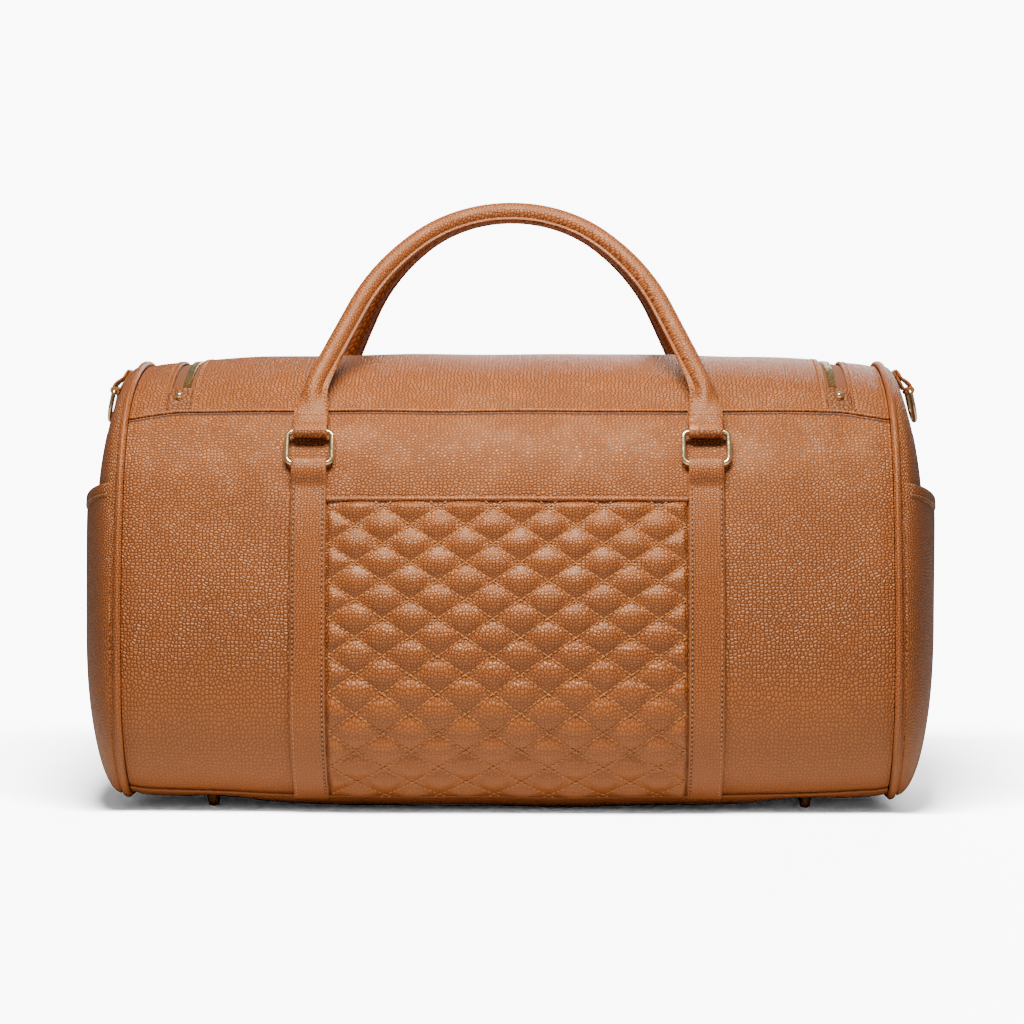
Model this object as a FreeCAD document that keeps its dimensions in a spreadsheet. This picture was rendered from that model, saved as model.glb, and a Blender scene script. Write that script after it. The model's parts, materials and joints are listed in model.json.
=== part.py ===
# A soft leather weekender bag with a U-shaped zip lid, two rolled handles on rings, quilted front pocket,
# end pockets and shoulder-strap rings. Millimetres: +X right, +Y to the back, +Z up, origin on the floor
# below the middle of the bag.
import FreeCAD
import Part
import Sketcher
import math
import os

Vector = FreeCAD.Vector

# alias, value, what it is
DIMENSIONS = (
    ("body_depth", 250, "outside, wall to wall"),
    ("foot_height", 8.5, "floor to the underside of the bottom panel"),
    ("low_height", 75, "floor to where the walls start to curve under"),
    ("low_radius", 80, "lower walls, curving under"),
    ("low_lean", 50, "degrees under, at the bottom seams"),
    ("wall_height", 90, "floor to where the walls start to lean in"),
    ("wall_radius", 400, "lean of the upper walls"),
    ("wall_lean", 15, "degrees, at the foot of the shoulder"),
    ("shoulder_radius", 98, "between wall and crown"),
    ("seam_lean", 45, "degrees, at the front and back top seams"),
    ("crown_lean", 67, "degrees, where shoulder meets crown"),
    ("leather", 2, "thickness of the outer leather"),
    ("lining_cloth", 1, "thickness of the lining"),
    ("panel_length", 450.8, "front, back, bottom and top panels, end to end"),
    ("piping_radius", 2.2, "covered cord round each end"),
    ("piping_spacing", 456, "left piping to right piping"),
    ("end_rise", 19, "end panel's bulge beyond its seam"),
    ("pocket_rise", 28.5, "end pocket's bulge beyond its seam"),
    ("pocket_hem_height", 184, "floor to an end pocket's mouth"),
    ("hem_height", 8, "folded band along a pocket's mouth"),
    ("zip_spacing", 389, "left zip leg to right zip leg"),
    ("zip_back", 62, "middle of the bag to the zip's back run"),
    ("zip_corner", 24, "radius of the zip's two back corners"),
    ("zip_margin_body", 9, "zip middle to the fixed leather's edge"),
    ("zip_margin_lid", 4.5, "zip middle to the lid's edge"),
    ("zip_split", 0.4, "between the two halves of the zip"),
    ("tape_thickness", 0.8, "woven zip tape"),
    ("tape_reach", 13, "zip middle to the tape's sewn edge"),
    ("teeth_reach", 2.8, "zip middle to the outer side of one row of teeth"),
    ("teeth_height", 1.6, "teeth above the tape"),
    ("stop_tab_width", 13.2, "leather tab over each end of the zip"),
    ("stop_tab_spacing", 393.8, "left tab to right tab"),
    ("stop_tab_rise", 1.2, "top of the tab above the leather's face"),
    ("stud_radius", 2.4, "ball stud on each tab"),
    ("strap_width", 21.4, "leather strap"),
    ("strap_spacing", 233, "left strap to right strap"),
    ("strap_thickness", 2.8, "two layers of leather"),
    ("ring_wire", 1.65, "radius of the handle rings' wire"),
    ("ring_width", 26.5, "between the middles of a ring's side bars"),
    ("ring_height", 19.6, "between the middles of a ring's long bars"),
    ("ring_corner", 3.6, "bend in a ring's wire"),
    ("ring_lean", 22.2, "degrees from upright, inwards"),
    ("ring_angle", 22.77, "degrees round the shoulder to a ring's lower bar"),
    ("loop_play", 0.3, "between a bar and the leather round it"),
    ("loop_standoff", 4.05, "wall to the middle of a ring's lower bar"),
    ("handle_rise", 165.1, "ring's upper bar to the middle of the grip"),
    ("handle_lean", 35, "degrees from upright, inwards"),
    ("handle_radius", 5.6, "rolled leather handle"),
    ("core_radius", 3.4, "rope inside a handle"),
    ("grip_radius", 84, "bend over the top of a handle"),
    ("grip_turn", 42, "degrees, each side of the top"),
    ("leg_lean", 22, "degrees, a handle's straight legs"),
    ("leg_radius", 45, "bend above each tab"),
    ("tab_length", 24, "flat end of a handle"),
    ("tab_width", 21, "flat end of a handle"),
    ("tab_thickness", 5.2, "flat end of a handle"),
    ("tab_eye", 3.95, "outside radius round the ring's bar"),
    ("quilt_width", 210.6, "quilted pocket, between the straps"),
    ("quilt_height", 187, "floor to the quilted pocket's mouth"),
    ("quilt_padding", 1.4, "foam behind the quilted leather"),
    ("quilt_leather", 1.2, "quilted leather"),
    ("d_ring_wire", 1.5, "radius of the wire"),
    ("d_ring_width", 22, "between the middles of its two sides"),
    ("d_ring_drop", 19.5, "bar to the bottom of the curve"),
    ("d_ring_corner", 3, "bend at each end of the bar"),
    ("d_ring_reach", 247.5, "middle of the bag to the ring's bar"),
    ("d_ring_height", 250.5, "floor to the ring's bar"),
    ("d_ring_tilt", 12, "degrees, hanging against the end panel"),
    ("d_loop_width", 17, "leather loop that holds a D-ring"),
    ("d_loop_thickness", 1.8, "leather loop that holds a D-ring"),
    ("d_loop_lean", 32, "degrees, the loop's two sewn layers against the end panel"),
    ("d_loop_length", 16, "bar to the loop's sewn edge"),
    ("rivet_radius", 3, "on each leather loop"),
    ("foot_spacing_long", 356, "left foot to right foot"),
    ("foot_spacing_deep", 150, "front foot to back foot"),
    ("foot_radius_top", 4.2, "brass foot"),
    ("foot_radius_tip", 3, "brass foot"),
    ("shank_radius", 1.2, "foot's screw"),
    ("washer_radius", 6, "inside the bag, over each foot"),
    ("washer_thickness", 1, "inside the bag, over each foot"),
    ("lining_inset", 1, "panel's end to the lining's end"),
    ("board_length", 430, "stiff board in the bottom"),
    ("board_depth", 162, "stiff board in the bottom"),
    ("board_thickness", 3, "stiff board in the bottom"),
    ("slider_length", 11, "zip slider"),
    ("slider_width", 7.8, "zip slider"),
    ("slider_offset", 7, "middle of the bag to each slider"),
    ("pull_length", 24, "pin to tip"),
    ("pull_width", 6, "zip pull"),
    ("pull_thickness", 1.2, "zip pull"),
    ("pull_height", 3.7, "leather's face to the pull's pin"),
    ("pin_radius", 0.7, "zip pull's pin"),
)

doc = FreeCAD.newDocument("WeekenderBag")
sheet = doc.addObject("Spreadsheet::Sheet", "Dimensions")
for row, (alias, value, note) in enumerate(DIMENSIONS, start=1):
    sheet.set(f"A{row}", alias)
    sheet.set(f"B{row}", str(value))
    sheet.set(f"C{row}", note)
    sheet.setAlias(f"B{row}", alias)
doc.recompute()

SIDES = (("left", -1), ("right", 1))
FACES = (("front", -1), ("back", 1))
SLACK = 0.2  # gap between two pieces that are sewn edge to edge


def size(alias):
    return float(sheet.get(alias))


def sine(alias):
    return math.sin(math.radians(size(alias)))


def cosine(alias):
    return math.cos(math.radians(size(alias)))


# ---- the section of the bag -------------------------------------------------------------------------------
# A run is (start, middle or None, end) in (y, z): a line where the middle is None, and otherwise an arc.
# Lean is the wall's angle from upright; the leather's outward side at lean a faces (-cos a, sin a) in front.

HALF_DEPTH = size("body_depth") / 2
LOW_CENTRE = (size("low_radius") - HALF_DEPTH, size("low_height"))
LOW_SEAM = (
    LOW_CENTRE[0] - size("low_radius") * cosine("low_lean"),
    LOW_CENTRE[1] - size("low_radius") * sine("low_lean"),
)
CORNER_RADIUS = (LOW_SEAM[1] - size("foot_height")) / (1 - sine("low_lean"))
CORNER_CENTRE = (LOW_SEAM[0] + CORNER_RADIUS * cosine("low_lean"), size("foot_height") + CORNER_RADIUS)
WALL_CENTRE = (size("wall_radius") - HALF_DEPTH, size("wall_height"))
SHOULDER_STEP = size("wall_radius") - size("shoulder_radius")
SHOULDER_CENTRE = (
    WALL_CENTRE[0] - SHOULDER_STEP * cosine("wall_lean"),
    WALL_CENTRE[1] + SHOULDER_STEP * sine("wall_lean"),
)
CROWN_RADIUS = size("shoulder_radius") - SHOULDER_CENTRE[0] / cosine("crown_lean")
CROWN_CENTRE = (
    0.0,
    SHOULDER_CENTRE[1] - (CROWN_RADIUS - size("shoulder_radius")) * sine("crown_lean"),
)


def on_arc(centre, radius, lean):
    turn = math.radians(lean)
    return (centre[0] - radius * math.cos(turn), centre[1] + radius * math.sin(turn))


def arc_run(centre, radius, start, end):
    middle = (start + end) / 2
    return tuple(on_arc(centre, radius, lean) for lean in (start, middle, end))


def surface_point(lean, outward=0.0):
    """A point of the front half's shoulder or crown, a distance outward from the leather's face."""
    if lean <= size("crown_lean"):
        return on_arc(SHOULDER_CENTRE, size("shoulder_radius") + outward, lean)
    return on_arc(CROWN_CENTRE, CROWN_RADIUS + outward, lean)


def lean_at_depth(depth):
    """The shoulder's lean where the leather's face is that far from the middle of the bag."""
    return math.degrees(math.acos((depth + SHOULDER_CENTRE[0]) / size("shoulder_radius")))


def corner_runs(outward):
    return [arc_run(CORNER_CENTRE, CORNER_RADIUS + outward, -90, -size("low_lean"))]


def upright_runs(outward, foot_lean):
    """The lower wall, from a lean where it curves under up to where it starts to lean in."""
    wall = -HALF_DEPTH - outward
    under = arc_run(LOW_CENTRE, size("low_radius") + outward, foot_lean, 0)
    return [under, ((wall, size("low_height")), None, (wall, size("wall_height")))]


def wall_runs(outward, foot_lean, top_lean):
    """The front wall, up to a lean on the shoulder."""
    runs = upright_runs(outward, foot_lean)
    runs.append(arc_run(WALL_CENTRE, size("wall_radius") + outward, 0, size("wall_lean")))
    if top_lean > size("wall_lean"):
        shoulder = size("shoulder_radius") + outward
        runs.append(arc_run(SHOULDER_CENTRE, shoulder, size("wall_lean"), top_lean))
    return runs


def low_wall_runs(outward, foot_lean, top):
    """The front wall, up to a height below the shoulder."""
    radius = size("wall_radius") + outward
    lean = math.degrees(math.asin((top - size("wall_height")) / radius))
    return upright_runs(outward, foot_lean) + [arc_run(WALL_CENTRE, radius, 0, lean)]


def shoulder_runs(outward, low_lean, high_lean):
    return [arc_run(SHOULDER_CENTRE, size("shoulder_radius") + outward, low_lean, high_lean)]


def crown_runs(outward, front_lean, back_lean):
    """Over the top, from a lean on the front shoulder to a lean on the back one."""
    crown = size("crown_lean")
    front = shoulder_runs(outward, front_lean, crown)
    middle = [arc_run(CROWN_CENTRE, CROWN_RADIUS + outward, crown, 180 - crown)]
    return front + middle + reverse(mirror(shoulder_runs(outward, back_lean, crown)))


def mirror(runs):
    """The same runs on the back of the bag."""
    return [tuple(p and (-p[0], p[1]) for p in run) for run in runs]


def reverse(runs):
    return [(end, middle, start) for start, middle, end in reversed(runs)]


def band(outer, inner):
    """A closed strip between two matching lines of runs."""
    back = reverse(inner)
    return outer + [(outer[-1][2], None, back[0][0])] + back + [(back[-1][2], None, outer[0][0])]


def closed_section(outward):
    """The whole outline of the bag, from the middle of the bottom, up the front and down the back."""
    bottom = size("foot_height") - outward
    half = [((0.0, bottom), None, (CORNER_CENTRE[0], bottom))]
    half += corner_runs(outward)
    half += wall_runs(outward, -size("low_lean"), size("crown_lean"))
    over = [arc_run(CROWN_CENTRE, CROWN_RADIUS + outward, size("crown_lean"), 180 - size("crown_lean"))]
    return half + over + reverse(mirror(half))


def edge_of(run, place):
    start, middle, end = run
    if middle is None:
        return Part.LineSegment(place(start), place(end)).toShape()
    return Part.Arc(place(start), place(middle), place(end)).toShape()


# ---- document helpers -------------------------------------------------------------------------------------


def new_body(label):
    body = doc.addObject("PartDesign::Body", label)
    body.Label = label
    return body


def new_sketch(body, name, role, offset=None):
    """A sketch on one of the body's own origin planes; offset is an expression along the plane's normal."""
    plane = [f for f in body.Origin.OriginFeatures if f.Role == role][0]
    sketch = body.newObject("Sketcher::SketchObject", f"{body.Name}_{name}")
    sketch.AttachmentSupport = [(plane, "")]
    sketch.MapMode = "FlatFace"
    if offset:
        sketch.setExpression("AttachmentOffset.Base.z", offset)
    return sketch


def flat(point):
    return Vector(point[0], point[1], 0)


def draw_runs(sketch, runs):
    """Draws a closed line of runs and pins each end to the next one's start."""
    first = sketch.GeometryCount
    for start, middle, end in runs:
        if middle is None:
            sketch.addGeometry(Part.LineSegment(flat(start), flat(end)), False)
        else:
            sketch.addGeometry(Part.Arc(flat(start), flat(middle), flat(end)), False)
    for number, run in enumerate(runs):
        here = first + number
        after = first + (number + 1) % len(runs)
        corner = flat(run[2])
        this_end = nearer_end(sketch, here, corner)
        next_end = nearer_end(sketch, after, corner)
        sketch.addConstraint(Sketcher.Constraint("Coincident", here, this_end, after, next_end))
    return sketch


def nearer_end(sketch, edge, point):
    return min((1, 2), key=lambda end: sketch.getPoint(edge, end).distanceToPoint(point))


def rectangle(x_low, x_high, y_low, y_high):
    corners = [(x_low, y_low), (x_high, y_low), (x_high, y_high), (x_low, y_high)]
    return [(corners[i], None, corners[(i + 1) % 4]) for i in range(4)]


def draw_circle(sketch, radius, centre=(0, 0)):
    """A circle whose radius is an expression on the sheet; a number is worked out from it first."""
    expression, value = radius
    circle = sketch.addGeometry(Part.Circle(flat(centre), Vector(0, 0, 1), value), False)
    row = sketch.addConstraint(Sketcher.Constraint("Radius", circle, value))
    sketch.setExpression(f"Constraints[{row}]", expression)
    return sketch


def cell(alias, extra_alias=None):
    """The expression and value of a cell, or of two cells added up."""
    if extra_alias is None:
        return f"Dimensions.{alias}", size(alias)
    return f"Dimensions.{alias} + Dimensions.{extra_alias}", size(alias) + size(extra_alias)


def add_pad(body, sketch, length, symmetric=True):
    pad = body.newObject("PartDesign::Pad", f"{sketch.Name}_Pad")
    pad.Profile = sketch
    pad.SideType = "Symmetric" if symmetric else "One side"
    pad.setExpression("Length", length)
    doc.recompute()
    return pad


def add_pocket(body, sketch, length):
    """Cuts both ways from the sketch, and makes sure that something was cut."""
    before = body.Shape.Volume
    pocket = body.newObject("PartDesign::Pocket", f"{sketch.Name}_Pocket")
    pocket.Profile = sketch
    pocket.SideType = "Symmetric"
    pocket.setExpression("Length", length)
    doc.recompute()
    if not body.Shape.Volume < before:
        raise RuntimeError(f"{pocket.Name} cuts nothing")
    return pocket


def add_pipe(body, profile, spine):
    pipe = body.newObject("PartDesign::AdditivePipe", f"{profile.Name}_Pipe")
    pipe.Profile = profile
    pipe.Spine = (spine, [])
    doc.recompute()
    return pipe


def banded(label, runs, length, centre=None):
    """A body that is one strip of the bag's section, length across the bag, at centre."""
    body = new_body(label)
    sketch = draw_runs(new_sketch(body, "Section", "YZ_Plane", centre), runs)
    add_pad(body, sketch, length)
    return body


def feature(label, shape, placement=None):
    piece = doc.addObject("Part::Feature", label)
    piece.Label = label
    piece.Shape = shape
    if placement is not None:
        piece.Placement = placement
    return piece


def facing(sign, runs):
    return runs if sign < 0 else mirror(runs)


# ---- walls, bottom and lining -----------------------------------------------------------------------------

FOOT_PLACES = [
    (x * size("foot_spacing_long") / 2, y * size("foot_spacing_deep") / 2)
    for x in (-1, 1)
    for y in (-1, 1)
]
WALL_FOOT = math.degrees(SLACK / size("low_radius")) - size("low_lean")
LEATHER = size("leather")
LINED = LEATHER + size("lining_cloth")


def drill_feet(body):
    """Four holes for the feet's shanks."""
    sketch = new_sketch(body, "FootHoles", "XY_Plane")
    for place in FOOT_PLACES:
        draw_circle(sketch, cell("shank_radius"), place)
    add_pocket(body, sketch, "4 * Dimensions.foot_height")


def build_walls():
    for face, sign in FACES:
        outer = wall_runs(0, WALL_FOOT, size("seam_lean"))
        inner = wall_runs(-LEATHER, WALL_FOOT, size("seam_lean"))
        banded(f"{face}_panel", facing(sign, band(outer, inner)), "Dimensions.panel_length")


def tray_runs(outward):
    """Across the bottom, from the front corner's top to the back corner's."""
    corner = corner_runs(outward)
    bottom = size("foot_height") - outward
    across = [((CORNER_CENTRE[0], bottom), None, (-CORNER_CENTRE[0], bottom))]
    return reverse(corner) + across + mirror(corner)


def build_bottom():
    body = banded("bottom_panel", band(tray_runs(0), tray_runs(-LEATHER)), "Dimensions.panel_length")
    drill_feet(body)


def build_lining():
    """Cloth against the walls and bottom, closed by a flat sheet at each end."""
    def around(outward):
        wall = wall_runs(outward, -size("low_lean"), size("seam_lean"))
        return reverse(wall) + tray_runs(outward) + mirror(wall)

    body = banded("lining", band(around(-LEATHER), around(-LINED)), "Dimensions.panel_length - 2 * Dimensions.lining_inset")
    for side, sign in SIDES:
        face = "Dimensions.panel_length / 2 - Dimensions.lining_inset - Dimensions.lining_cloth / 2"
        middle = f"{sign} * ({face})"
        end = new_sketch(body, f"End_{side}", "YZ_Plane", middle)
        low = around(-LEATHER)
        draw_runs(end, low + [(low[-1][2], None, low[0][0])])
        add_pad(body, end, "Dimensions.lining_cloth")
    drill_feet(body)


def build_board():
    body = new_body("base_board")
    under = "Dimensions.foot_height + Dimensions.leather + Dimensions.lining_cloth"
    sketch = new_sketch(body, "Plan", "XY_Plane", under)
    half_x = size("board_length") / 2
    half_y = size("board_depth") / 2
    draw_runs(sketch, rectangle(-half_x, half_x, -half_y, half_y))
    for edge, name, value in ((0, "board_length", 2 * half_x), (1, "board_depth", 2 * half_y)):
        kind = "DistanceX" if edge == 0 else "DistanceY"
        row = sketch.addConstraint(Sketcher.Constraint(kind, edge, 1, edge, 2, value))
        sketch.setExpression(f"Constraints[{row}]", f"Dimensions.{name}")
    sketch.addConstraint(Sketcher.Constraint("Symmetric", 0, 1, 1, 2, -1, 1))
    add_pad(body, sketch, "Dimensions.board_thickness", symmetric=False)
    drill_feet(body)


# ---- ends, end pockets and piping -------------------------------------------------------------------------

END_SHRINK = (0.6, 0.8)  # how much smaller an end panel's flat middle is than its outline: depth, height
POCKET_SHRINK = (0.85, 0.9)
DOME_STEPS = 6
DOME_HEIGHT = 150  # the height that the sections shrink towards
END_START = size("piping_spacing") / 2 + size("piping_radius") + 0.1


def bulge(rise, shrink, inward=0.0, tuck=0.0):
    """A solid, bulged end that starts from the bag's outline. Inward moves its whole surface in, and
    tuck starts it just inside the seam, for a piece that comes out of the surface under it."""
    wires = []
    for step in range(DOME_STEPS + 1):
        turn = math.pi / 2 * step / DOME_STEPS
        x = END_START + tuck + math.sin(turn) * (rise - inward - tuck)
        depth, height = (1 - share * (1 - math.cos(turn)) for share in shrink)

        def place(point, x=x, depth=depth, height=height):
            return Vector(x, point[0] * depth, DOME_HEIGHT + (point[1] - DOME_HEIGHT) * height)

        wires.append(Part.Wire([edge_of(run, place) for run in closed_section(-inward - tuck)]))
    return Part.makeLoft(wires, True, True)


def end_bulge(inward=0.0):
    return bulge(size("end_rise"), END_SHRINK, inward)


def pocket_bulge(inward=0.0):
    return bulge(size("pocket_rise"), POCKET_SHRINK, inward, 0.3)


def on_side(shape, sign):
    if sign > 0:
        return shape
    return shape.mirror(Vector(0, 0, 0), Vector(1, 0, 0))


def slab(low, high):
    """Everything between two heights at the right-hand end."""
    return Part.makeBox(200, 400, high - low, Vector(END_START - 50, -200, low))


def build_ends():
    end = end_bulge()
    end_shell = end.cut(end_bulge(LEATHER))
    pocket_shell = pocket_bulge().cut(pocket_bulge(LEATHER)).cut(end)
    hem_low = size("pocket_hem_height") - size("hem_height")
    for side, sign in SIDES:
        feature(f"end_panel_{side}", on_side(end_shell, sign))
        lower = pocket_shell.common(slab(0, hem_low))
        feature(f"end_pocket_{side}", on_side(lower, sign))
        hem = pocket_shell.common(slab(hem_low, size("pocket_hem_height")))
        feature(f"end_pocket_hem_{side}", on_side(hem, sign))


def build_piping():
    for side, sign in SIDES:
        body = new_body(f"end_piping_{side}")
        middle = f"{sign} * Dimensions.piping_spacing / 2"
        spine = draw_runs(new_sketch(body, "Line", "YZ_Plane", middle), closed_section(0))
        profile = new_sketch(body, "Cord", "XZ_Plane")
        start = (sign * size("piping_spacing") / 2, size("foot_height"))
        draw_circle(profile, cell("piping_radius"), start)
        add_pipe(body, profile, spine)


# ---- top, lid and zip -------------------------------------------------------------------------------------

TAB_LEAN = 58  # the upper edge of each stop tab


def plan_of_lid(outward):
    """The zip's line seen from above, moved outward from its middle; it runs out past the front seam."""
    half = size("zip_spacing") / 2 + outward
    back = size("zip_back") + outward
    radius = size("zip_corner") + outward
    turned = radius * (1 - math.sqrt(0.5))
    front = -HALF_DEPTH
    return [
        ((-half, front), None, (-half, back - radius)),
        ((-half, back - radius), (turned - half, back - turned), (radius - half, back)),
        ((radius - half, back), None, (half - radius, back)),
        ((half - radius, back), (half - turned, back - turned), (half, back - radius)),
        ((half, back - radius), None, (half, front)),
        ((half, front), None, (-half, front)),
    ]


def cut_inside(body, outward):
    sketch = draw_runs(new_sketch(body, "Inside", "XY_Plane"), plan_of_lid(outward))
    add_pocket(body, sketch, "8 * Dimensions.body_depth")


def cut_outside(body, outward):
    sketch = draw_runs(new_sketch(body, "Outside", "XY_Plane"), plan_of_lid(outward))
    reach = size("panel_length")
    draw_runs(sketch, rectangle(-reach, reach, -reach, reach))
    add_pocket(body, sketch, "8 * Dimensions.body_depth")


def arch(label, outer, inner, front_lean, back_lean):
    """A layer over the top of the bag; outer and inner are distances outward from the leather's face."""
    runs = band(crown_runs(outer, front_lean, back_lean), crown_runs(inner, front_lean, back_lean))
    return banded(label, runs, "Dimensions.panel_length")


def build_top():
    seam = size("seam_lean")
    split = size("zip_split") / 2
    tape_top = -LEATHER
    tape_low = -LEATHER - size("tape_thickness")
    teeth_top = tape_top + size("teeth_height")
    reach = size("tape_reach")
    teeth = size("teeth_reach")
    back = lean_at_depth(size("zip_back") + reach)

    body = arch("top_surround", 0, -LEATHER, seam, seam)
    cut_inside(body, size("zip_margin_body"))
    body = arch("lid_panel", 0, -LEATHER, seam + 0.1, seam)
    cut_outside(body, -size("zip_margin_lid"))
    body = arch("lid_lining", tape_low, tape_low - size("lining_cloth"), seam + 0.5, seam)
    cut_outside(body, -reach)
    for label, top, low, width, body_start in (
        ("zip_tape", tape_top, tape_low, reach, seam + 1),
        ("zip_teeth", teeth_top, tape_top, teeth, TAB_LEAN + 1),
    ):
        body = arch(f"{label}_body", top, low, body_start, back - 1)
        cut_inside(body, split)
        cut_outside(body, width)
        body = arch(f"{label}_lid", top, low, TAB_LEAN + 1, back - 1)
        cut_inside(body, -width)
        cut_outside(body, -split)


def build_stop_tabs():
    """A thick leather tab that fills the gap over each end of the zip, on its tape."""
    outer = shoulder_runs(size("stop_tab_rise"), size("seam_lean") + 1, TAB_LEAN)
    inner = shoulder_runs(-LEATHER, size("seam_lean") + 1, TAB_LEAN)
    for side, sign in SIDES:
        middle = f"{sign} * Dimensions.stop_tab_spacing / 2"
        banded(f"zip_stop_tab_{side}", band(outer, inner), "Dimensions.stop_tab_width", middle)


def normal_at(lean):
    turn = math.radians(lean)
    return Vector(0, -math.cos(turn), math.sin(turn))


STUD_NECK = 0.55  # share of the ball's radius
STUD_CENTRE = 1.3  # height of the ball's middle, as a share of its radius


def build_studs():
    """A ball on a short neck, on each stop tab."""
    lean = (size("seam_lean") + 1 + TAB_LEAN) / 2
    radius = size("stud_radius")
    studs = []
    for side, sign in SIDES:
        y, z = surface_point(lean, size("stop_tab_rise"))
        foot = Vector(sign * size("stop_tab_spacing") / 2, y, z)
        up = normal_at(lean)
        neck = Part.makeCylinder(STUD_NECK * radius, radius, foot, up)
        ball = Part.makeSphere(radius, foot + up * STUD_CENTRE * radius)
        studs.append(neck.fuse(ball).removeSplitter())
    feature("zip_tab_studs", Part.makeCompound(studs))


def zip_frame(x):
    """A placement on the zip's back run: X along the zip, Y down the back, Z off the leather."""
    lean = lean_at_depth(size("zip_back"))
    y, z = surface_point(lean)
    return FreeCAD.Placement(Vector(x, -y, z), FreeCAD.Rotation(Vector(1, 0, 0), lean - 90))


PLATE_LOW = 0.1
PLATE_TOP = 1.8
FLANGE_LOW = -1.2
FLANGE_THICKNESS = 0.7
POST_INSIDE = 2.3
POST_OUTSIDE = 3.3


def build_sliders():
    """A top plate with a flange down the lid's side, and two posts that carry the pull's pin."""
    half_width = size("slider_width") / 2
    flange_inside = FLANGE_THICKNESS - half_width
    pin = size("pull_height")
    for side, sign in SIDES:
        body = new_body(f"zip_slider_{side}")
        section = new_sketch(body, "Section", "YZ_Plane")
        corners = [
            (half_width, PLATE_LOW),
            (half_width, PLATE_TOP),
            (-half_width, PLATE_TOP),
            (-half_width, FLANGE_LOW),
            (flange_inside, FLANGE_LOW),
            (flange_inside, PLATE_LOW),
        ]
        edges = [(corners[i], None, corners[(i + 1) % len(corners)]) for i in range(len(corners))]
        draw_runs(section, edges)
        add_pad(body, section, "Dimensions.slider_length")
        for number, low in enumerate((-POST_OUTSIDE, POST_INSIDE)):
            high = low + POST_OUTSIDE - POST_INSIDE
            post = new_sketch(body, f"Post_{number}", "YZ_Plane")
            draw_runs(post, rectangle(low, high, PLATE_TOP - 0.5, pin + 1.2))
            add_pad(body, post, "Dimensions.pull_thickness * 2.5")
        rod = new_sketch(body, "Pin", "XZ_Plane")
        draw_circle(rod, cell("pin_radius"), (0, pin))
        add_pad(body, rod, "Dimensions.pull_width")
        body.Placement = zip_frame(sign * size("slider_offset"))


def build_pulls():
    """An eye round the pin and a flat tongue that lies away from the middle of the bag."""
    pin = size("pull_height")
    eye = size("pin_radius") + 0.2 + 0.8
    inner_width = 2 * POST_INSIDE - 0.6
    for side, sign in SIDES:
        body = new_body(f"zip_pull_{side}")
        ring = new_sketch(body, "Eye", "XZ_Plane")
        draw_circle(ring, ("Dimensions.pin_radius + 1", eye), (0, pin))
        add_pad(body, ring, f"{inner_width}")
        tongue = new_sketch(body, "Tongue", "XY_Plane", "Dimensions.pull_height")
        start = eye * 0.5
        neck = size("pull_length") * 0.25
        tip = size("pull_length")
        wide = size("pull_width") / 2
        narrow = inner_width / 2
        outline = [
            ((sign * start, -narrow), None, (sign * neck, -narrow)),
            ((sign * neck, -narrow), None, (sign * neck, -wide)),
            ((sign * neck, -wide), None, (sign * (tip - wide), -wide)),
            ((sign * (tip - wide), -wide), (sign * tip, 0), (sign * (tip - wide), wide)),
            ((sign * (tip - wide), wide), None, (sign * neck, wide)),
            ((sign * neck, wide), None, (sign * neck, narrow)),
            ((sign * neck, narrow), None, (sign * start, narrow)),
            ((sign * start, narrow), None, (sign * start, -narrow)),
        ]
        draw_runs(tongue, outline)
        add_pad(body, tongue, "Dimensions.pull_thickness")
        hole = new_sketch(body, "Bore", "XZ_Plane")
        draw_circle(hole, ("Dimensions.pin_radius + 0.2", size("pin_radius") + 0.2), (0, pin))
        add_pocket(body, hole, "4 * Dimensions.pull_width")
        body.Placement = zip_frame(sign * size("slider_offset"))


# ---- straps, rings and handles ----------------------------------------------------------------------------


def build_straps():
    """A strap up each wall, folded over its ring's lower bar."""
    lean = size("ring_angle")
    thick = size("strap_thickness")
    bar = surface_point(lean, size("loop_standoff"))
    for face, face_sign in FACES:
        strip = band(wall_runs(thick, WALL_FOOT, lean - 1), wall_runs(0, WALL_FOOT, lean - 1))
        eye = (bar[0], bar[1]) if face_sign < 0 else (-bar[0], bar[1])
        for side, sign in SIDES:
            middle = f"{sign} * Dimensions.strap_spacing / 2"
            body = banded(
                f"{face}_strap_{side}", facing(face_sign, strip), "Dimensions.strap_width", middle
            )
            fold = new_sketch(body, "Fold", "YZ_Plane", middle)
            outside = size("loop_standoff") - 0.1
            draw_circle(fold, ("Dimensions.loop_standoff - 0.1", outside), eye)
            add_pad(body, fold, "Dimensions.strap_width")
            bore = new_sketch(body, "Bore", "YZ_Plane", middle)
            draw_circle(bore, cell("ring_wire", "loop_play"), eye)
            add_pocket(body, bore, "2 * Dimensions.strap_width")


def rounded_rectangle(half_width, height, radius):
    """Corner to corner round a ring that stands on its lower bar."""
    turned = radius * (1 - math.sqrt(0.5))
    right = half_width
    top = height
    half = [
        ((0, 0), None, (right - radius, 0)),
        ((right - radius, 0), (right - turned, turned), (right, radius)),
        ((right, radius), None, (right, top - radius)),
        ((right, top - radius), (right - turned, top - turned), (right - radius, top)),
        ((right - radius, top), None, (0, top)),
    ]
    return half + reverse(mirror(half))


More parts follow.
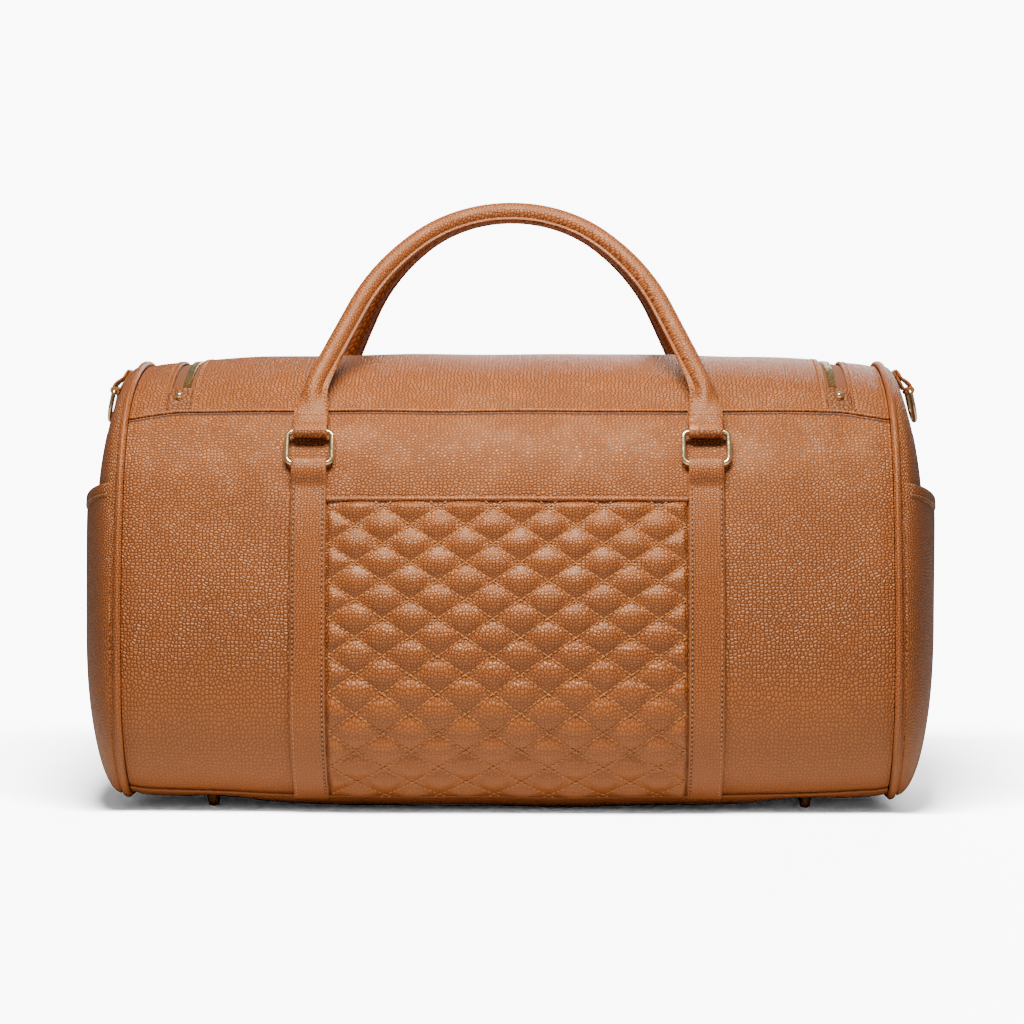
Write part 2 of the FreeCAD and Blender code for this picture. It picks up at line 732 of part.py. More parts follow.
def build_rings():
    bar = surface_point(size("ring_angle"), size("loop_standoff"))
    line = rounded_rectangle(size("ring_width") / 2, size("ring_height"), size("ring_corner"))
    for face, face_sign in FACES:
        for side, sign in SIDES:
            body = new_body(f"{face}_ring_{side}")
            spine = draw_runs(new_sketch(body, "Line", "XZ_Plane"), line)
            profile = draw_circle(new_sketch(body, "Wire", "YZ_Plane"), cell("ring_wire"))
            add_pipe(body, profile, spine)
            turn = FreeCAD.Rotation(Vector(1, 0, 0), face_sign * size("ring_lean"))
            place = Vector(sign * size("strap_spacing") / 2, -face_sign * bar[0], bar[1])
            body.Placement = FreeCAD.Placement(place, turn)


def upper_bar():
    """The middle of a front ring's upper bar, where a handle turns."""
    bar = surface_point(size("ring_angle"), size("loop_standoff"))
    return (
        bar[0] + size("ring_height") * sine("ring_lean"),
        bar[1] + size("ring_height") * cosine("ring_lean"),
    )


def handle_half():
    """Right half of a handle's line, from its tab up to the middle of the grip, as runs in (x, z)."""
    leg_turn = math.radians(size("leg_lean"))
    grip_turn = math.radians(size("grip_turn"))
    side_turn = math.pi / 2 - leg_turn
    leg = size("leg_radius")
    grip = size("grip_radius")
    foot = (size("strap_spacing") / 2, size("tab_length"))
    bend = (foot[0] - leg * (1 - math.cos(leg_turn)), foot[1] + leg * math.sin(leg_turn))
    # The side arc between leg and grip has the radius that lets the straight leg meet it in line.
    spread = math.sin(side_turn) - math.sin(grip_turn)
    drop = math.cos(grip_turn) - math.cos(side_turn)
    top = size("handle_rise")
    shoulder = top - grip * (1 - math.cos(grip_turn))
    need = bend[0] - grip * math.sin(grip_turn) - (shoulder - bend[1]) * math.tan(leg_turn)
    side = need / (spread - drop * math.tan(leg_turn))

    def on_grip(turn):
        return (grip * math.sin(turn), top - grip * (1 - math.cos(turn)))

    def on_side_arc(turn):
        start = on_grip(grip_turn)
        x = start[0] + side * (math.sin(turn) - math.sin(grip_turn))
        return (x, start[1] - side * (math.cos(grip_turn) - math.cos(turn)))

    def on_leg(turn):
        return (foot[0] - leg * (1 - math.cos(turn)), foot[1] + leg * math.sin(turn))

    return [
        (foot, on_leg(leg_turn / 2), bend),
        (bend, None, on_side_arc(side_turn)),
        (on_side_arc(side_turn), on_side_arc((side_turn + grip_turn) / 2), on_grip(grip_turn)),
        (on_grip(grip_turn), on_grip(grip_turn / 2), on_grip(0)),
    ]


def handle_frame(face_sign):
    bar = upper_bar()
    turn = FreeCAD.Rotation(Vector(1, 0, 0), face_sign * size("handle_lean"))
    return FreeCAD.Placement(Vector(0, -face_sign * bar[0], bar[1]), turn)


def draw_open(sketch, runs):
    for start, middle, end in runs:
        if middle is None:
            sketch.addGeometry(Part.LineSegment(flat(start), flat(end)), False)
        else:
            sketch.addGeometry(Part.Arc(flat(start), flat(middle), flat(end)), False)
    return sketch


def build_handles():
    half = handle_half()
    line = half + reverse(mirror(half))
    foot = half[0][0]
    for face, face_sign in FACES:
        body = new_body(f"{face}_handle_cover")
        spine = draw_open(new_sketch(body, "Line", "XZ_Plane"), line)
        profile = new_sketch(body, "Roll", "XY_Plane", "Dimensions.tab_length")
        draw_circle(profile, cell("handle_radius"), (foot[0], 0))
        draw_circle(profile, ("Dimensions.core_radius + 0.1", size("core_radius") + 0.1), (foot[0], 0))
        add_pipe(body, profile, spine)
        for side, sign in SIDES:
            add_tab(body, side, sign)
        body.Placement = handle_frame(face_sign)

        core = new_body(f"{face}_handle_core")
        spine = draw_open(new_sketch(core, "Line", "XZ_Plane"), line)
        profile = new_sketch(core, "Rope", "XY_Plane", "Dimensions.tab_length")
        draw_circle(profile, cell("core_radius"), (foot[0], 0))
        add_pipe(core, profile, spine)
        core.Placement = handle_frame(face_sign)


def add_tab(body, side, sign):
    """The handle's flat end: a plate that narrows into the roll, with an eye round the ring's bar."""
    middle = sign * size("strap_spacing") / 2
    wide = size("tab_width") / 2
    length = size("tab_length")
    offset = f"{sign} * Dimensions.strap_spacing / 2"
    plate = new_sketch(body, f"Tab_{side}", "XZ_Plane")
    draw_runs(plate, rectangle(middle - wide, middle + wide, 0, length))
    add_pad(body, plate, "Dimensions.tab_thickness")
    eye = new_sketch(body, f"Eye_{side}", "YZ_Plane", offset)
    draw_circle(eye, cell("tab_eye"))
    add_pad(body, eye, "Dimensions.tab_width")
    bore = new_sketch(body, f"Bore_{side}", "YZ_Plane", offset)
    draw_circle(bore, cell("ring_wire", "loop_play"))
    add_pocket(body, bore, "1.5 * Dimensions.tab_width")


# ---- quilted pocket ---------------------------------------------------------------------------------------


def build_quilted_pocket():
    padding = size("quilt_padding")
    outside = padding + size("quilt_leather")
    hem = size("quilt_height") - size("hem_height")
    layers = (("quilted_pocket_padding", padding, 0), ("quilted_pocket", outside, padding))
    for label, outer, inner in layers:
        runs = band(low_wall_runs(outer, WALL_FOOT, hem), low_wall_runs(inner, WALL_FOOT, hem))
        banded(label, runs, "Dimensions.quilt_width")
    radius = size("wall_radius")

    def hem_run(outward):
        leans = [
            math.degrees(math.asin((z - size("wall_height")) / radius))
            for z in (hem + SLACK, size("quilt_height"))
        ]
        return [arc_run(WALL_CENTRE, radius + outward, *leans)]

    banded("quilted_pocket_hem", band(hem_run(outside), hem_run(0)), "Dimensions.quilt_width")


# ---- D-rings, feet ----------------------------------------------------------------------------------------


def d_frame(sign):
    """A placement at a D-ring's bar: its ring hangs along -Z, tilted outward at the bottom."""
    turn = FreeCAD.Rotation(Vector(0, 1, 0), -sign * size("d_ring_tilt"))
    return FreeCAD.Placement(Vector(sign * size("d_ring_reach"), 0, size("d_ring_height")), turn)


def build_d_rings():
    half = size("d_ring_width") / 2
    corner = size("d_ring_corner")
    turned = corner * (1 - math.sqrt(0.5))
    round_start = half - size("d_ring_drop")
    right = [
        ((0, 0), None, (half - corner, 0)),
        ((half - corner, 0), (half - turned, -turned), (half, -corner)),
        ((half, -corner), None, (half, round_start)),
        ((half, round_start), (half * math.sqrt(0.5), round_start - half * math.sqrt(0.5)),
         (0, round_start - half)),
    ]
    for side, sign in SIDES:
        body = new_body(f"d_ring_{side}")
        spine = draw_runs(new_sketch(body, "Line", "YZ_Plane"), right + reverse(mirror(right)))
        profile = draw_circle(new_sketch(body, "Wire", "XZ_Plane"), cell("d_ring_wire"))
        add_pipe(body, profile, spine)
        body.Placement = d_frame(sign)


def build_d_loops():
    """A leather strip sewn to the end panel and folded round the D-ring's bar, with a rivet."""
    bore = size("d_ring_wire") + size("loop_play")
    outside = bore + size("d_loop_thickness")
    width = size("d_loop_width")
    end = end_bulge()
    bar = Vector(size("d_ring_reach"), -width / 2, size("d_ring_height"))
    along = Vector(0, 1, 0)
    lean = FreeCAD.Rotation(Vector(0, 1, 0), -size("d_loop_lean"))
    layers = 2 * size("d_loop_thickness")
    strip = Part.makeBox(layers, width, size("d_loop_length"), Vector(-outside, 0, 0))
    strip.Placement = FreeCAD.Placement(bar, lean)
    fold = Part.makeCylinder(outside, width, bar, along)
    hole = Part.makeCylinder(bore, width, bar, along)
    loop = strip.fuse(fold).cut(hole).cut(end).removeSplitter()
    largest = max(loop.Solids, key=lambda solid: solid.Volume)
    radius = size("rivet_radius")
    seat_height = 0.65 * size("d_loop_length")
    seat = bar + Vector(0, width / 2, 0) + lean.multVec(Vector(layers - outside, 0, seat_height))
    cap = Part.makeSphere(radius, Vector(-0.6 * radius, 0, 0))
    rivet = cap.common(Part.makeBox(radius, 2 * radius, 2 * radius, Vector(0, -radius, -radius)))
    rivet.Placement = FreeCAD.Placement(seat, lean)
    rivets = []
    for side, sign in SIDES:
        feature(f"d_ring_loop_{side}", on_side(largest, sign))
        rivets.append(on_side(rivet, sign))
    feature("d_ring_rivets", Part.makeCompound(rivets))


def build_feet():
    """Tapered studs whose shanks pass through bottom, lining and board to a washer each."""
    height = size("foot_height")
    thick = size("washer_thickness")
    shank_top = height + LINED + size("board_thickness") + thick
    feet = []
    washers = []
    for x, y in FOOT_PLACES:
        cone = Part.makeCone(size("foot_radius_tip"), size("foot_radius_top"), height, Vector(x, y, 0))
        shank = Part.makeCylinder(size("shank_radius"), shank_top, Vector(x, y, 0))
        feet.append(cone.fuse(shank).removeSplitter())
        disc = Part.makeCylinder(size("washer_radius"), thick, Vector(x, y, shank_top - thick))
        washers.append(disc.cut(shank))
    feature("feet", Part.makeCompound(feet))
    feature("foot_washers", Part.makeCompound(washers))


# ---- make, check and write --------------------------------------------------------------------------------

for build in (
    build_walls,
    build_bottom,
    build_lining,
    build_board,
    build_ends,
    build_piping,
    build_top,
    build_stop_tabs,
    build_studs,
    build_sliders,
    build_pulls,
    build_straps,
    build_rings,
    build_handles,
    build_quilted_pocket,
    build_d_rings,
    build_d_loops,
    build_feet,
):
    build()
doc.recompute()

for item in doc.Objects:
    if "Invalid" in item.State or "Error" in item.State:
        raise RuntimeError(f"{item.Label} did not compute: {item.State}")

os.makedirs("parts", exist_ok=True)
pieces = [o for o in doc.Objects if o.TypeId in ("PartDesign::Body", "Part::Feature")]
for piece in pieces:
    if piece.Shape.isNull() or not piece.Shape.isValid():
        raise RuntimeError(f"{piece.Label} has no valid shape")
for piece in pieces:
    piece.Shape.exportStep(f"parts/{piece.Label}.step")
    print(piece.Label, len(piece.Shape.Solids), round(piece.Shape.Volume))
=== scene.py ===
import json
import math

import bpy
import numpy as np
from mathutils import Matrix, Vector


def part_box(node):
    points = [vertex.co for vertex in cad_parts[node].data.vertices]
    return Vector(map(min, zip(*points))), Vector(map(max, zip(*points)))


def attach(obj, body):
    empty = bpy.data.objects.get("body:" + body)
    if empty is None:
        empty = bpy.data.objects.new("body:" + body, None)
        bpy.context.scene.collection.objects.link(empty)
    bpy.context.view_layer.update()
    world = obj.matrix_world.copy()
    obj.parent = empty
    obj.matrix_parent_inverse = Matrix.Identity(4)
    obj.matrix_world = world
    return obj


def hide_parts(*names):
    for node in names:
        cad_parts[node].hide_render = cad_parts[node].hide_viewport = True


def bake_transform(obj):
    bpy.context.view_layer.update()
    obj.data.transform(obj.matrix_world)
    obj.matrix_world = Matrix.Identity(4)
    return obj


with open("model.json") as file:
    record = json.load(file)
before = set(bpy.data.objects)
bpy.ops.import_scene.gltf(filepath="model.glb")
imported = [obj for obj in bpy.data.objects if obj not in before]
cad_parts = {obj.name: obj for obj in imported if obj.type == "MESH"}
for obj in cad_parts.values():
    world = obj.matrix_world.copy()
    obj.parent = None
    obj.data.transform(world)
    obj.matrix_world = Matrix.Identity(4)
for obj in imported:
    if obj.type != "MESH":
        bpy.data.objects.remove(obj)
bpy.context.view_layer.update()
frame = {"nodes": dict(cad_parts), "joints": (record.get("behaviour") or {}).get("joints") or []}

# The looks of a soft leather weekender bag. Shapes are worked out in millimetres in the frame's own axes
# and become metres when a mesh is made.
MM = 0.001


def box_mm(node):
    low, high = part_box(node)
    return np.array(low) / MM, np.array(high) / MM


JOINTS = {j["name"]: j for j in frame["joints"]}


def joint_place(name):
    return np.array(JOINTS[name]["pos_m"]) / MM


def smooth_step(t):
    t = np.clip(t, 0, 1)
    return t * t * (3 - 2 * t)


def bump(t):
    """A bell of height 1 and half width about 1."""
    return np.exp(-np.square(t))


def unit(v):
    return v / np.linalg.norm(v, axis=-1, keepdims=True)


def full_turn(count):
    """Angles evenly round a circle."""
    return np.linspace(0, 2 * math.pi, count, endpoint=False)


def run_along(path):
    """Distance from the start of a line to each of its points."""
    return np.concatenate([[0.0], np.cumsum(np.linalg.norm(np.diff(path, axis=0), axis=1))])


def along_line(where, run, values):
    """Values at some distances along a line, from its values at run."""
    return np.stack([np.interp(where, run, values[:, k]) for k in range(values.shape[1])], -1)


RIGHT, BACK, UP = np.eye(3)
SIDES = (("left", -1), ("right", 1))
FACES = (("front", -1), ("back", 1))


# ---- the section of the bag ----

HALF_DEPTH = -box_mm("front_panel")[0][1]
FLOOR_GAP = box_mm("bottom_panel")[0][2]
HALF_PANEL = box_mm("front_panel")[1][0]
LOW_HEIGHT = 75
LOW_RADIUS = 80
LOW_LEAN = 50
WALL_HEIGHT = 90
WALL_RADIUS = 400
WALL_LEAN = 15
SHOULDER_RADIUS = 98
SEAM_LEAN = 45
CROWN_LEAN = 67
TABLE_STEP = 0.5


def on_arc(centre, radius, lean):
    turn = math.radians(lean)
    return centre[0] - radius * math.cos(turn), centre[1] + radius * math.sin(turn)


def arc_rows(centre, radius, start, end):
    """Rows of y, z and lean along an arc; lean is the surface's angle from upright, in radians."""
    count = int(math.radians(end - start) * radius / TABLE_STEP) + 2
    lean = np.radians(np.linspace(start, end, count))
    return np.column_stack([centre[0] - radius * np.cos(lean), centre[1] + radius * np.sin(lean), lean])


def section_rows():
    """The front half of the outline, from the middle of the bottom to the middle of the crown."""
    low = (LOW_RADIUS - HALF_DEPTH, LOW_HEIGHT)
    seam = on_arc(low, LOW_RADIUS, -LOW_LEAN)
    lean = math.radians(LOW_LEAN)
    radius = (seam[1] - FLOOR_GAP) / (1 - math.sin(lean))
    corner = (seam[0] + radius * math.cos(lean), FLOOR_GAP + radius)
    wall = (WALL_RADIUS - HALF_DEPTH, WALL_HEIGHT)
    step = WALL_RADIUS - SHOULDER_RADIUS
    shoulder = on_arc(wall, step, WALL_LEAN)
    crown_turn = math.radians(CROWN_LEAN)
    crown_radius = SHOULDER_RADIUS - shoulder[0] / math.cos(crown_turn)
    crown = (0.0, shoulder[1] - (crown_radius - SHOULDER_RADIUS) * math.sin(crown_turn))
    return np.vstack([
        [0.0, FLOOR_GAP, -math.pi / 2],
        arc_rows(corner, radius, -90, -LOW_LEAN),
        arc_rows(low, LOW_RADIUS, -LOW_LEAN, 0)[1:],
        arc_rows(wall, WALL_RADIUS, 0, WALL_LEAN),
        arc_rows(shoulder, SHOULDER_RADIUS, WALL_LEAN, CROWN_LEAN)[1:],
        arc_rows(crown, crown_radius, CROWN_LEAN, 90)[1:],
    ])


ROWS = section_rows()
ROW_S = run_along(ROWS[:, :2])
S_TOP = ROW_S[-1]


def outline(s):
    """y, z and lean at a distance s round the section: 0 in the middle of the bottom, growing up the
    front, over the crown at S_TOP and down the back; negative goes up the back from the bottom."""
    s = np.asarray(s, float)
    around = np.where(s > S_TOP, s - 2 * S_TOP, s)
    half = np.abs(around)
    y = np.interp(half, ROW_S, ROWS[:, 0])
    z = np.interp(half, ROW_S, ROWS[:, 1])
    lean = np.interp(half, ROW_S, ROWS[:, 2])
    back = around < 0
    return np.where(back, -y, y), z, np.where(back, math.pi - lean, lean)


def s_at_lean(degrees):
    return float(np.interp(math.radians(degrees), ROWS[:, 2], ROW_S))


def s_at_height(z):
    upper = ROWS[:, 2] > -math.pi / 2 + 0.01
    return np.interp(z, ROWS[upper, 1], ROW_S[upper])


def s_at_depth(y):
    """On the upper half of the bag."""
    upper = ROWS[:, 1] > WALL_HEIGHT
    front = np.interp(-np.abs(y), ROWS[upper, 0], ROW_S[upper])
    return np.where(np.asarray(y) > 0, 2 * S_TOP - front, front)


S_LOW = s_at_lean(-LOW_LEAN)
S_SEAM = s_at_lean(SEAM_LEAN)
RING_X = float(np.mean([box_mm("front_strap_right")[i][0] for i in (0, 1)]))
BAR = joint_place("front_ring_left_swing")


def nearest_on_section(place):
    """Distance round the section of the point nearest to a place, and how far out the place is."""
    s, out = float(s_at_depth(place[1])), 0.0
    for _round in range(6):
        y, z, lean = outline(s)
        away_y, away_z = place[1] - y, place[2] - z
        out = float(np.hypot(away_y, away_z))
        s += float(away_y * math.sin(lean) + away_z * math.cos(lean))
    return s, out


S_BAR, BAR_OUT = nearest_on_section(BAR)

SAG = 4.4
SAG_START = 90.0
SAG_RUN = 85.0
BOTTOM_SAG = 1.9
LOW_SEAM_Z = float(outline(S_LOW)[1])
CROWN_DROP = 3.4
DROP_START_X = 150.0
DROP_RUN_X = 78.0
DROP_START_Z = 235.0
DROP_RUN_Z = 30.0
SWELL_KEYS = (
    (0, 0.6),
    (S_LOW - 30, 0.8),
    (S_LOW, 0.2),
    (s_at_lean(0) + 20, 2.4),
    (s_at_lean(8), 2.8),
    (S_BAR, 2.4),
    (S_SEAM - 18, 1.4),
    (S_SEAM, 0.5),
    (S_SEAM + 25, 2.2),
    (S_TOP, 3.4),
    (S_TOP + 40, 0.8),
    (S_TOP + 60, 0.0),
)
SWELL_S = np.arange(-S_TOP, S_TOP + 90, 1.0)


def swell_table():
    keys = np.array(SWELL_KEYS)
    rough = np.interp(np.abs(SWELL_S), keys[:, 0], keys[:, 1])
    window = np.hanning(31)
    padded = np.pad(rough, 15, mode="edge")
    return np.convolve(padded, window / window.sum(), mode="valid")


SWELL_TABLE = swell_table()


# The rings and straps hold the leather in; waves fade towards the piping and the bottom.
RING_HOLD_X = 26.0
RING_HOLD_S = 34.0
STRAP_HOLD = 0.55
STRAP_HOLD_X = 22.0
STRAP_HOLD_S = 20.0
WAVE_SHARE = 0.8
WAVE_EDGE = 30.0
WAVE_LOW = 30.0
WAVE_RISE = 60.0
PIPING_PULL = 1.0
PIPING_PULL_X = 5.0


def swell(x, s):
    """How far the filled bag stands off its plain section: fuller in the middle, drawn in by the piping,
    the rings and the feet."""
    s = np.where(s > S_TOP + 80, s - 2 * S_TOP, s)
    across = np.abs(x) / HALF_PANEL
    full = np.interp(s, SWELL_S, SWELL_TABLE) * (1 - np.clip(across, 0, 1) ** 2.6)
    half = np.abs(np.where(s > S_TOP, 2 * S_TOP - s, s))
    at_ring = bump((np.abs(x) - RING_X) / RING_HOLD_X) * bump((half - S_BAR) / RING_HOLD_S)
    at_strap = bump((np.abs(x) - RING_X) / STRAP_HOLD_X) * smooth_step((half - S_LOW) / STRAP_HOLD_S)
    at_strap = STRAP_HOLD * at_strap
    full = full * (1 - at_ring) * (1 - at_strap * (half < S_SEAM))
    wave = 0.45 * np.sin(x / 37 + 1.3) * np.sin(s / 29 + 0.4)
    wave += 0.35 * np.sin(x / 21 - s / 43 + 2.0) + 0.22 * np.sin(x / 13 + s / 17)
    free = smooth_step((HALF_PANEL - np.abs(x)) / WAVE_EDGE) * (1 - at_ring)
    edge = PIPING_PULL * bump((HALF_PANEL - np.abs(x)) / PIPING_PULL_X)
    return full + wave * free * smooth_step((half - WAVE_LOW) / WAVE_RISE) * WAVE_SHARE - edge


def hang(x, z):
    """How far the bag's own weight lowers a point: the bottom sags between its feet, and the crown drops
    where the zip's surround runs into the piping."""
    across = np.clip(np.abs(x) / HALF_PANEL, 0, 1)
    sag = SAG * smooth_step((SAG_START - z) / SAG_RUN)
    sag = sag + BOTTOM_SAG * smooth_step((LOW_SEAM_Z - z) / (LOW_SEAM_Z - FLOOR_GAP))
    drop = CROWN_DROP * smooth_step((np.abs(x) - DROP_START_X) / DROP_RUN_X)
    return sag * (1 - across ** 2.4) + drop * smooth_step((z - DROP_START_Z) / DROP_RUN_Z)


def skin(x, s, out=0.0):
    """Points on the soft leather, a distance out from its face."""
    x, s, out = np.broadcast_arrays(np.asarray(x, float), s, out)
    y, z, lean = outline(s)
    rise = out + swell(x, s)
    return np.stack([x, y - np.cos(lean) * rise, z + np.sin(lean) * rise - hang(x, z)], -1)


def skin_normal(s, like):
    lean = np.broadcast_to(outline(s)[2], like.shape[:-1])
    return np.stack([np.zeros(lean.shape), -np.cos(lean), np.sin(lean)], -1)


def steps(*stops):
    """Positions along a line: each stop is (value, gap to the next)."""
    found = []
    for (start, gap), (end, _gap) in zip(stops, stops[1:]):
        count = max(1, round(abs(end - start) / gap))
        found.extend(np.linspace(start, end, count, endpoint=False))
    return np.array(found + [stops[-1][0]])


def both_ways(half):
    """Positions from -end to end, from positions that run from 0 to end."""
    return np.concatenate([-half[:0:-1], half])


# ---- meshes ----


def grid_faces(rows, columns, close_rows=False, close_columns=False):
    i = np.arange(rows if close_rows else rows - 1)
    j = np.arange(columns if close_columns else columns - 1)
    i, j = np.meshgrid(i, j, indexing="ij")
    below = (i + 1) % rows
    beside = (j + 1) % columns
    corners = [i * columns + j, i * columns + beside, below * columns + beside, below * columns + j]
    return np.stack(corners, -1).reshape(-1, 4)


def merge(parts):
    """One mesh from several (points, faces)."""
    points, faces, start = [], [], 0
    for part_points, part_faces in parts:
        points.append(np.asarray(part_points).reshape(-1, 3))
        faces.extend([[int(v) + start for v in face] for face in part_faces])
        start += len(points[-1])
    return np.concatenate(points), faces


def new_piece(name, points, faces, material, slot, sharp=48):
    mesh = bpy.data.meshes.new(name)
    points = np.asarray(points, float).reshape(-1, 3) * MM
    mesh.from_pydata(points.tolist(), [], [list(map(int, face)) for face in faces])
    mesh.validate()
    mesh.polygons.foreach_set("use_smooth", [True] * len(mesh.polygons))
    mesh.set_sharp_from_angle(angle=math.radians(sharp))
    piece = bpy.data.objects.new(name, mesh)
    bpy.context.scene.collection.objects.link(piece)
    mesh.materials.append(material)
    return piece


def add_piece(name, mesh, material, slot, body="bag", node=None, sharp=48):
    """A piece that moves with a body and, given a CAD node, takes its place."""
    piece = new_piece(name, *mesh, material, slot, sharp)
    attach(piece, body)
    if node:
        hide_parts(node)
    return piece


def face_outward(points, faces, away_from):
    """Turns the faces over where they look towards a point inside."""
    first = np.array([points[list(face)[:3]] for face in faces[:: max(1, len(faces) // 60)]])
    normal = np.cross(first[:, 1] - first[:, 0], first[:, 2] - first[:, 0])
    looks = np.einsum("ij,ij->i", normal, first.mean(1) - away_from)
    return faces if np.sum(looks) >= 0 else [list(face)[::-1] for face in faces]


def surface_normals(points):
    """Unit normals of a grid of points."""
    down = np.gradient(points, axis=0)
    across = np.gradient(points, axis=1)
    normal = np.cross(across, down)
    length = np.linalg.norm(normal, axis=-1, keepdims=True)
    return normal / np.maximum(length, 1e-9)


def shell(outer, thickness, outward, roundness=0.45):
    """A layer of leather: a grid for its face, the same grid inward, and a rounded rim between them."""
    normal = surface_normals(outer)
    middle = outer.shape[0] // 2, outer.shape[1] // 2
    if np.dot(normal[middle], outward) < 0:
        normal = -normal
    inner = outer - normal * thickness
    rows, columns = outer.shape[:2]
    face = grid_faces(rows, columns)
    loop = [(i, 0) for i in range(rows)]
    loop += [(rows - 1, j) for j in range(1, columns)]
    loop += [(i, columns - 1) for i in range(rows - 2, -1, -1)]
    loop += [(0, j) for j in range(columns - 2, 0, -1)]
    loop = np.array(loop)
    i, j = loop[:, 0], loop[:, 1]
    inside_i = np.clip(i, 1, rows - 2)
    inside_j = np.clip(j, 1, columns - 2)
    away = unit(outer[i, j] - outer[inside_i, inside_j] + 1e-9)
    rim = (outer[i, j] + inner[i, j]) / 2 + away * thickness * roundness
    count = rows * columns
    at = i * columns + j
    around = 2 * count + np.arange(len(loop))
    ahead = np.roll(np.arange(len(loop)), -1)
    faces = face.tolist() + (face[:, ::-1] + count).tolist()
    for k in range(len(loop)):
        n = ahead[k]
        faces.append([at[k], around[k], around[n], at[n]])
        faces.append([around[k], at[k] + count, at[n] + count, around[n]])
    points = np.concatenate([outer.reshape(-1, 3), inner.reshape(-1, 3), rim])
    sample = face[len(face) // 2 + columns // 2 - 1]
    corner = points[sample]
    looks = np.cross(corner[1] - corner[0], corner[2] - corner[0])
    if np.dot(looks, normal[middle]) < 0:
        faces = [f[::-1] for f in faces]
    return points, faces


def sweep(path, across, up, profile, closed=False):
    """A tube with this profile, one outline of (across, up) points or one for each point of the path."""
    profile = np.broadcast_to(profile, (len(path),) + np.shape(profile)[-2:])
    points = path[:, None] + profile[..., :1] * across[:, None] + profile[..., 1:] * up[:, None]
    count = profile.shape[1]
    faces = grid_faces(len(path), count, close_rows=closed, close_columns=True).tolist()
    if not closed:
        last = (len(path) - 1) * count
        faces.append(list(range(count))[::-1])
        faces.append([last + k for k in range(count)])
    flat = points.reshape(-1, 3)
    middle = len(path) // 2
    return flat, face_tube(flat, faces, path[middle], middle * count, count)


def face_tube(points, faces, centre, start, count):
    ring = points[start:start + count]
    after = points[(start + count) % len(points):][:count]
    normal = np.cross(ring[1] - ring[0], after[0] - ring[0])
    return faces if np.dot(normal, ring[0] - centre) > 0 else [f[::-1] for f in faces]


def oval_profile(half_width, half_height, count):
    turn = full_turn(count)
    return np.stack([half_width * np.cos(turn), half_height * np.sin(turn)], -1)


STRIP_SIDE = 5


def strip_profile(width, thickness):
    """A flat strip with rounded edges: each half of its points starts with the STRIP_SIDE of an edge."""
    half, radius = width / 2 - thickness / 2, thickness / 2
    turn = np.linspace(-math.pi / 2, math.pi / 2, STRIP_SIDE)
    side = np.stack([half + radius * 0.8 * np.cos(turn), radius * np.sin(turn)], -1)
    flat = np.linspace(half, -half, 9)[1:-1]
    top = np.stack([flat, np.full(len(flat), radius)], -1)
    return np.concatenate([side, top, -side, -top])


def tangents(path, closed=False):
    if closed:
        return unit(np.roll(path, -1, axis=0) - np.roll(path, 1, axis=0))
    return unit(np.gradient(path, axis=0))


def lathe(profile, place, up, count=24):
    """A turned part: (radius, height) points about an axis from place along up."""
    up = unit(np.asarray(up, float))
    side = unit(np.cross(up, [0.0, 1.0, 0.0] if abs(up[1]) < 0.9 else [1.0, 0.0, 0.0]))
    other = np.cross(up, side)
    turn = full_turn(count)
    ring = np.cos(turn)[:, None] * side + np.sin(turn)[:, None] * other
    profile = np.array(profile, float)
    points = place + profile[:, None, :1] * ring[None] + profile[:, None, 1:] * up
    faces = grid_faces(len(profile), count, close_columns=True).tolist()
    faces.append(list(range(count))[::-1])
    faces.append([(len(profile) - 1) * count + k for k in range(count)])
    return points.reshape(-1, 3), faces


def ball_profile(radius, centre, start, end, count=9):
    """Points of a ball's side between two angles from its lowest point."""
    turn = np.radians(np.linspace(start, end, count))
    return [(max(radius * math.sin(t), 0.02), centre - radius * math.cos(t)) for t in turn]


# Pitch, length and radius of the stitches in each kind of seam.
SEAM_STITCH = (3.3, 2.1, 0.48)
EDGE_STITCH = (3.1, 1.9, 0.38)
POCKET_STITCH = (3.2, 2.0, 0.36)
STRAP_STITCH = (3.0, 1.7, 0.42)
LOOP_STITCH = (3.0, 1.9, 0.4)
TAB_STITCH = (2.9, 1.9, 0.38)
LIP_STITCH = (3.0, 1.8, 0.36)
QUILT_STITCH = (3.2, 2.0, 0.42)
HEM_STITCH = (3.1, 2.0, 0.36)
# Where each ring of a stitch sits along it, and its width, as shares of the whole.
STITCH_RINGS = ((-0.5, 0.35), (-0.36, 0.85), (0.0, 1.0), (0.36, 0.85), (0.5, 0.35))
STITCH_SIDES = 6


def thread(path, normals, pitch, length, radius):
    """Stitches along a line of points: short rounded lengths of thread."""
    run = run_along(path)
    count = max(1, int(run[-1] / pitch))
    middle = (np.arange(count) + 0.5) * run[-1] / count
    start = along_line(middle - length / 2, run, path)
    end = along_line(middle + length / 2, run, path)
    along = unit(end - start)
    normal = along_line(middle, run, np.broadcast_to(normals, path.shape))
    side = unit(np.cross(along, normal))
    up = np.cross(side, along)
    turn = full_turn(STITCH_SIDES)
    points = []
    for place, width in STITCH_RINGS:
        centre = (start + end) / 2 + place * (end - start)
        ring = np.cos(turn)[None, :, None] * side[:, None] + np.sin(turn)[None, :, None] * up[:, None]
        points.append(centre[:, None] + ring * radius * width)
    points = np.stack(points, 1).reshape(count, -1, 3)
    one = grid_faces(len(STITCH_RINGS), STITCH_SIDES, close_columns=True)
    last = (len(STITCH_RINGS) - 1) * STITCH_SIDES
    ends = [list(range(STITCH_SIDES))[::-1], [last + k for k in range(STITCH_SIDES)]]
    size = points.shape[1]
    faces = []
    for k in range(count):
        faces.extend((one + k * size).tolist())
        faces.extend([[v + k * size for v in face] for face in ends])
    return points.reshape(-1, 3), faces


# ---- materials ----


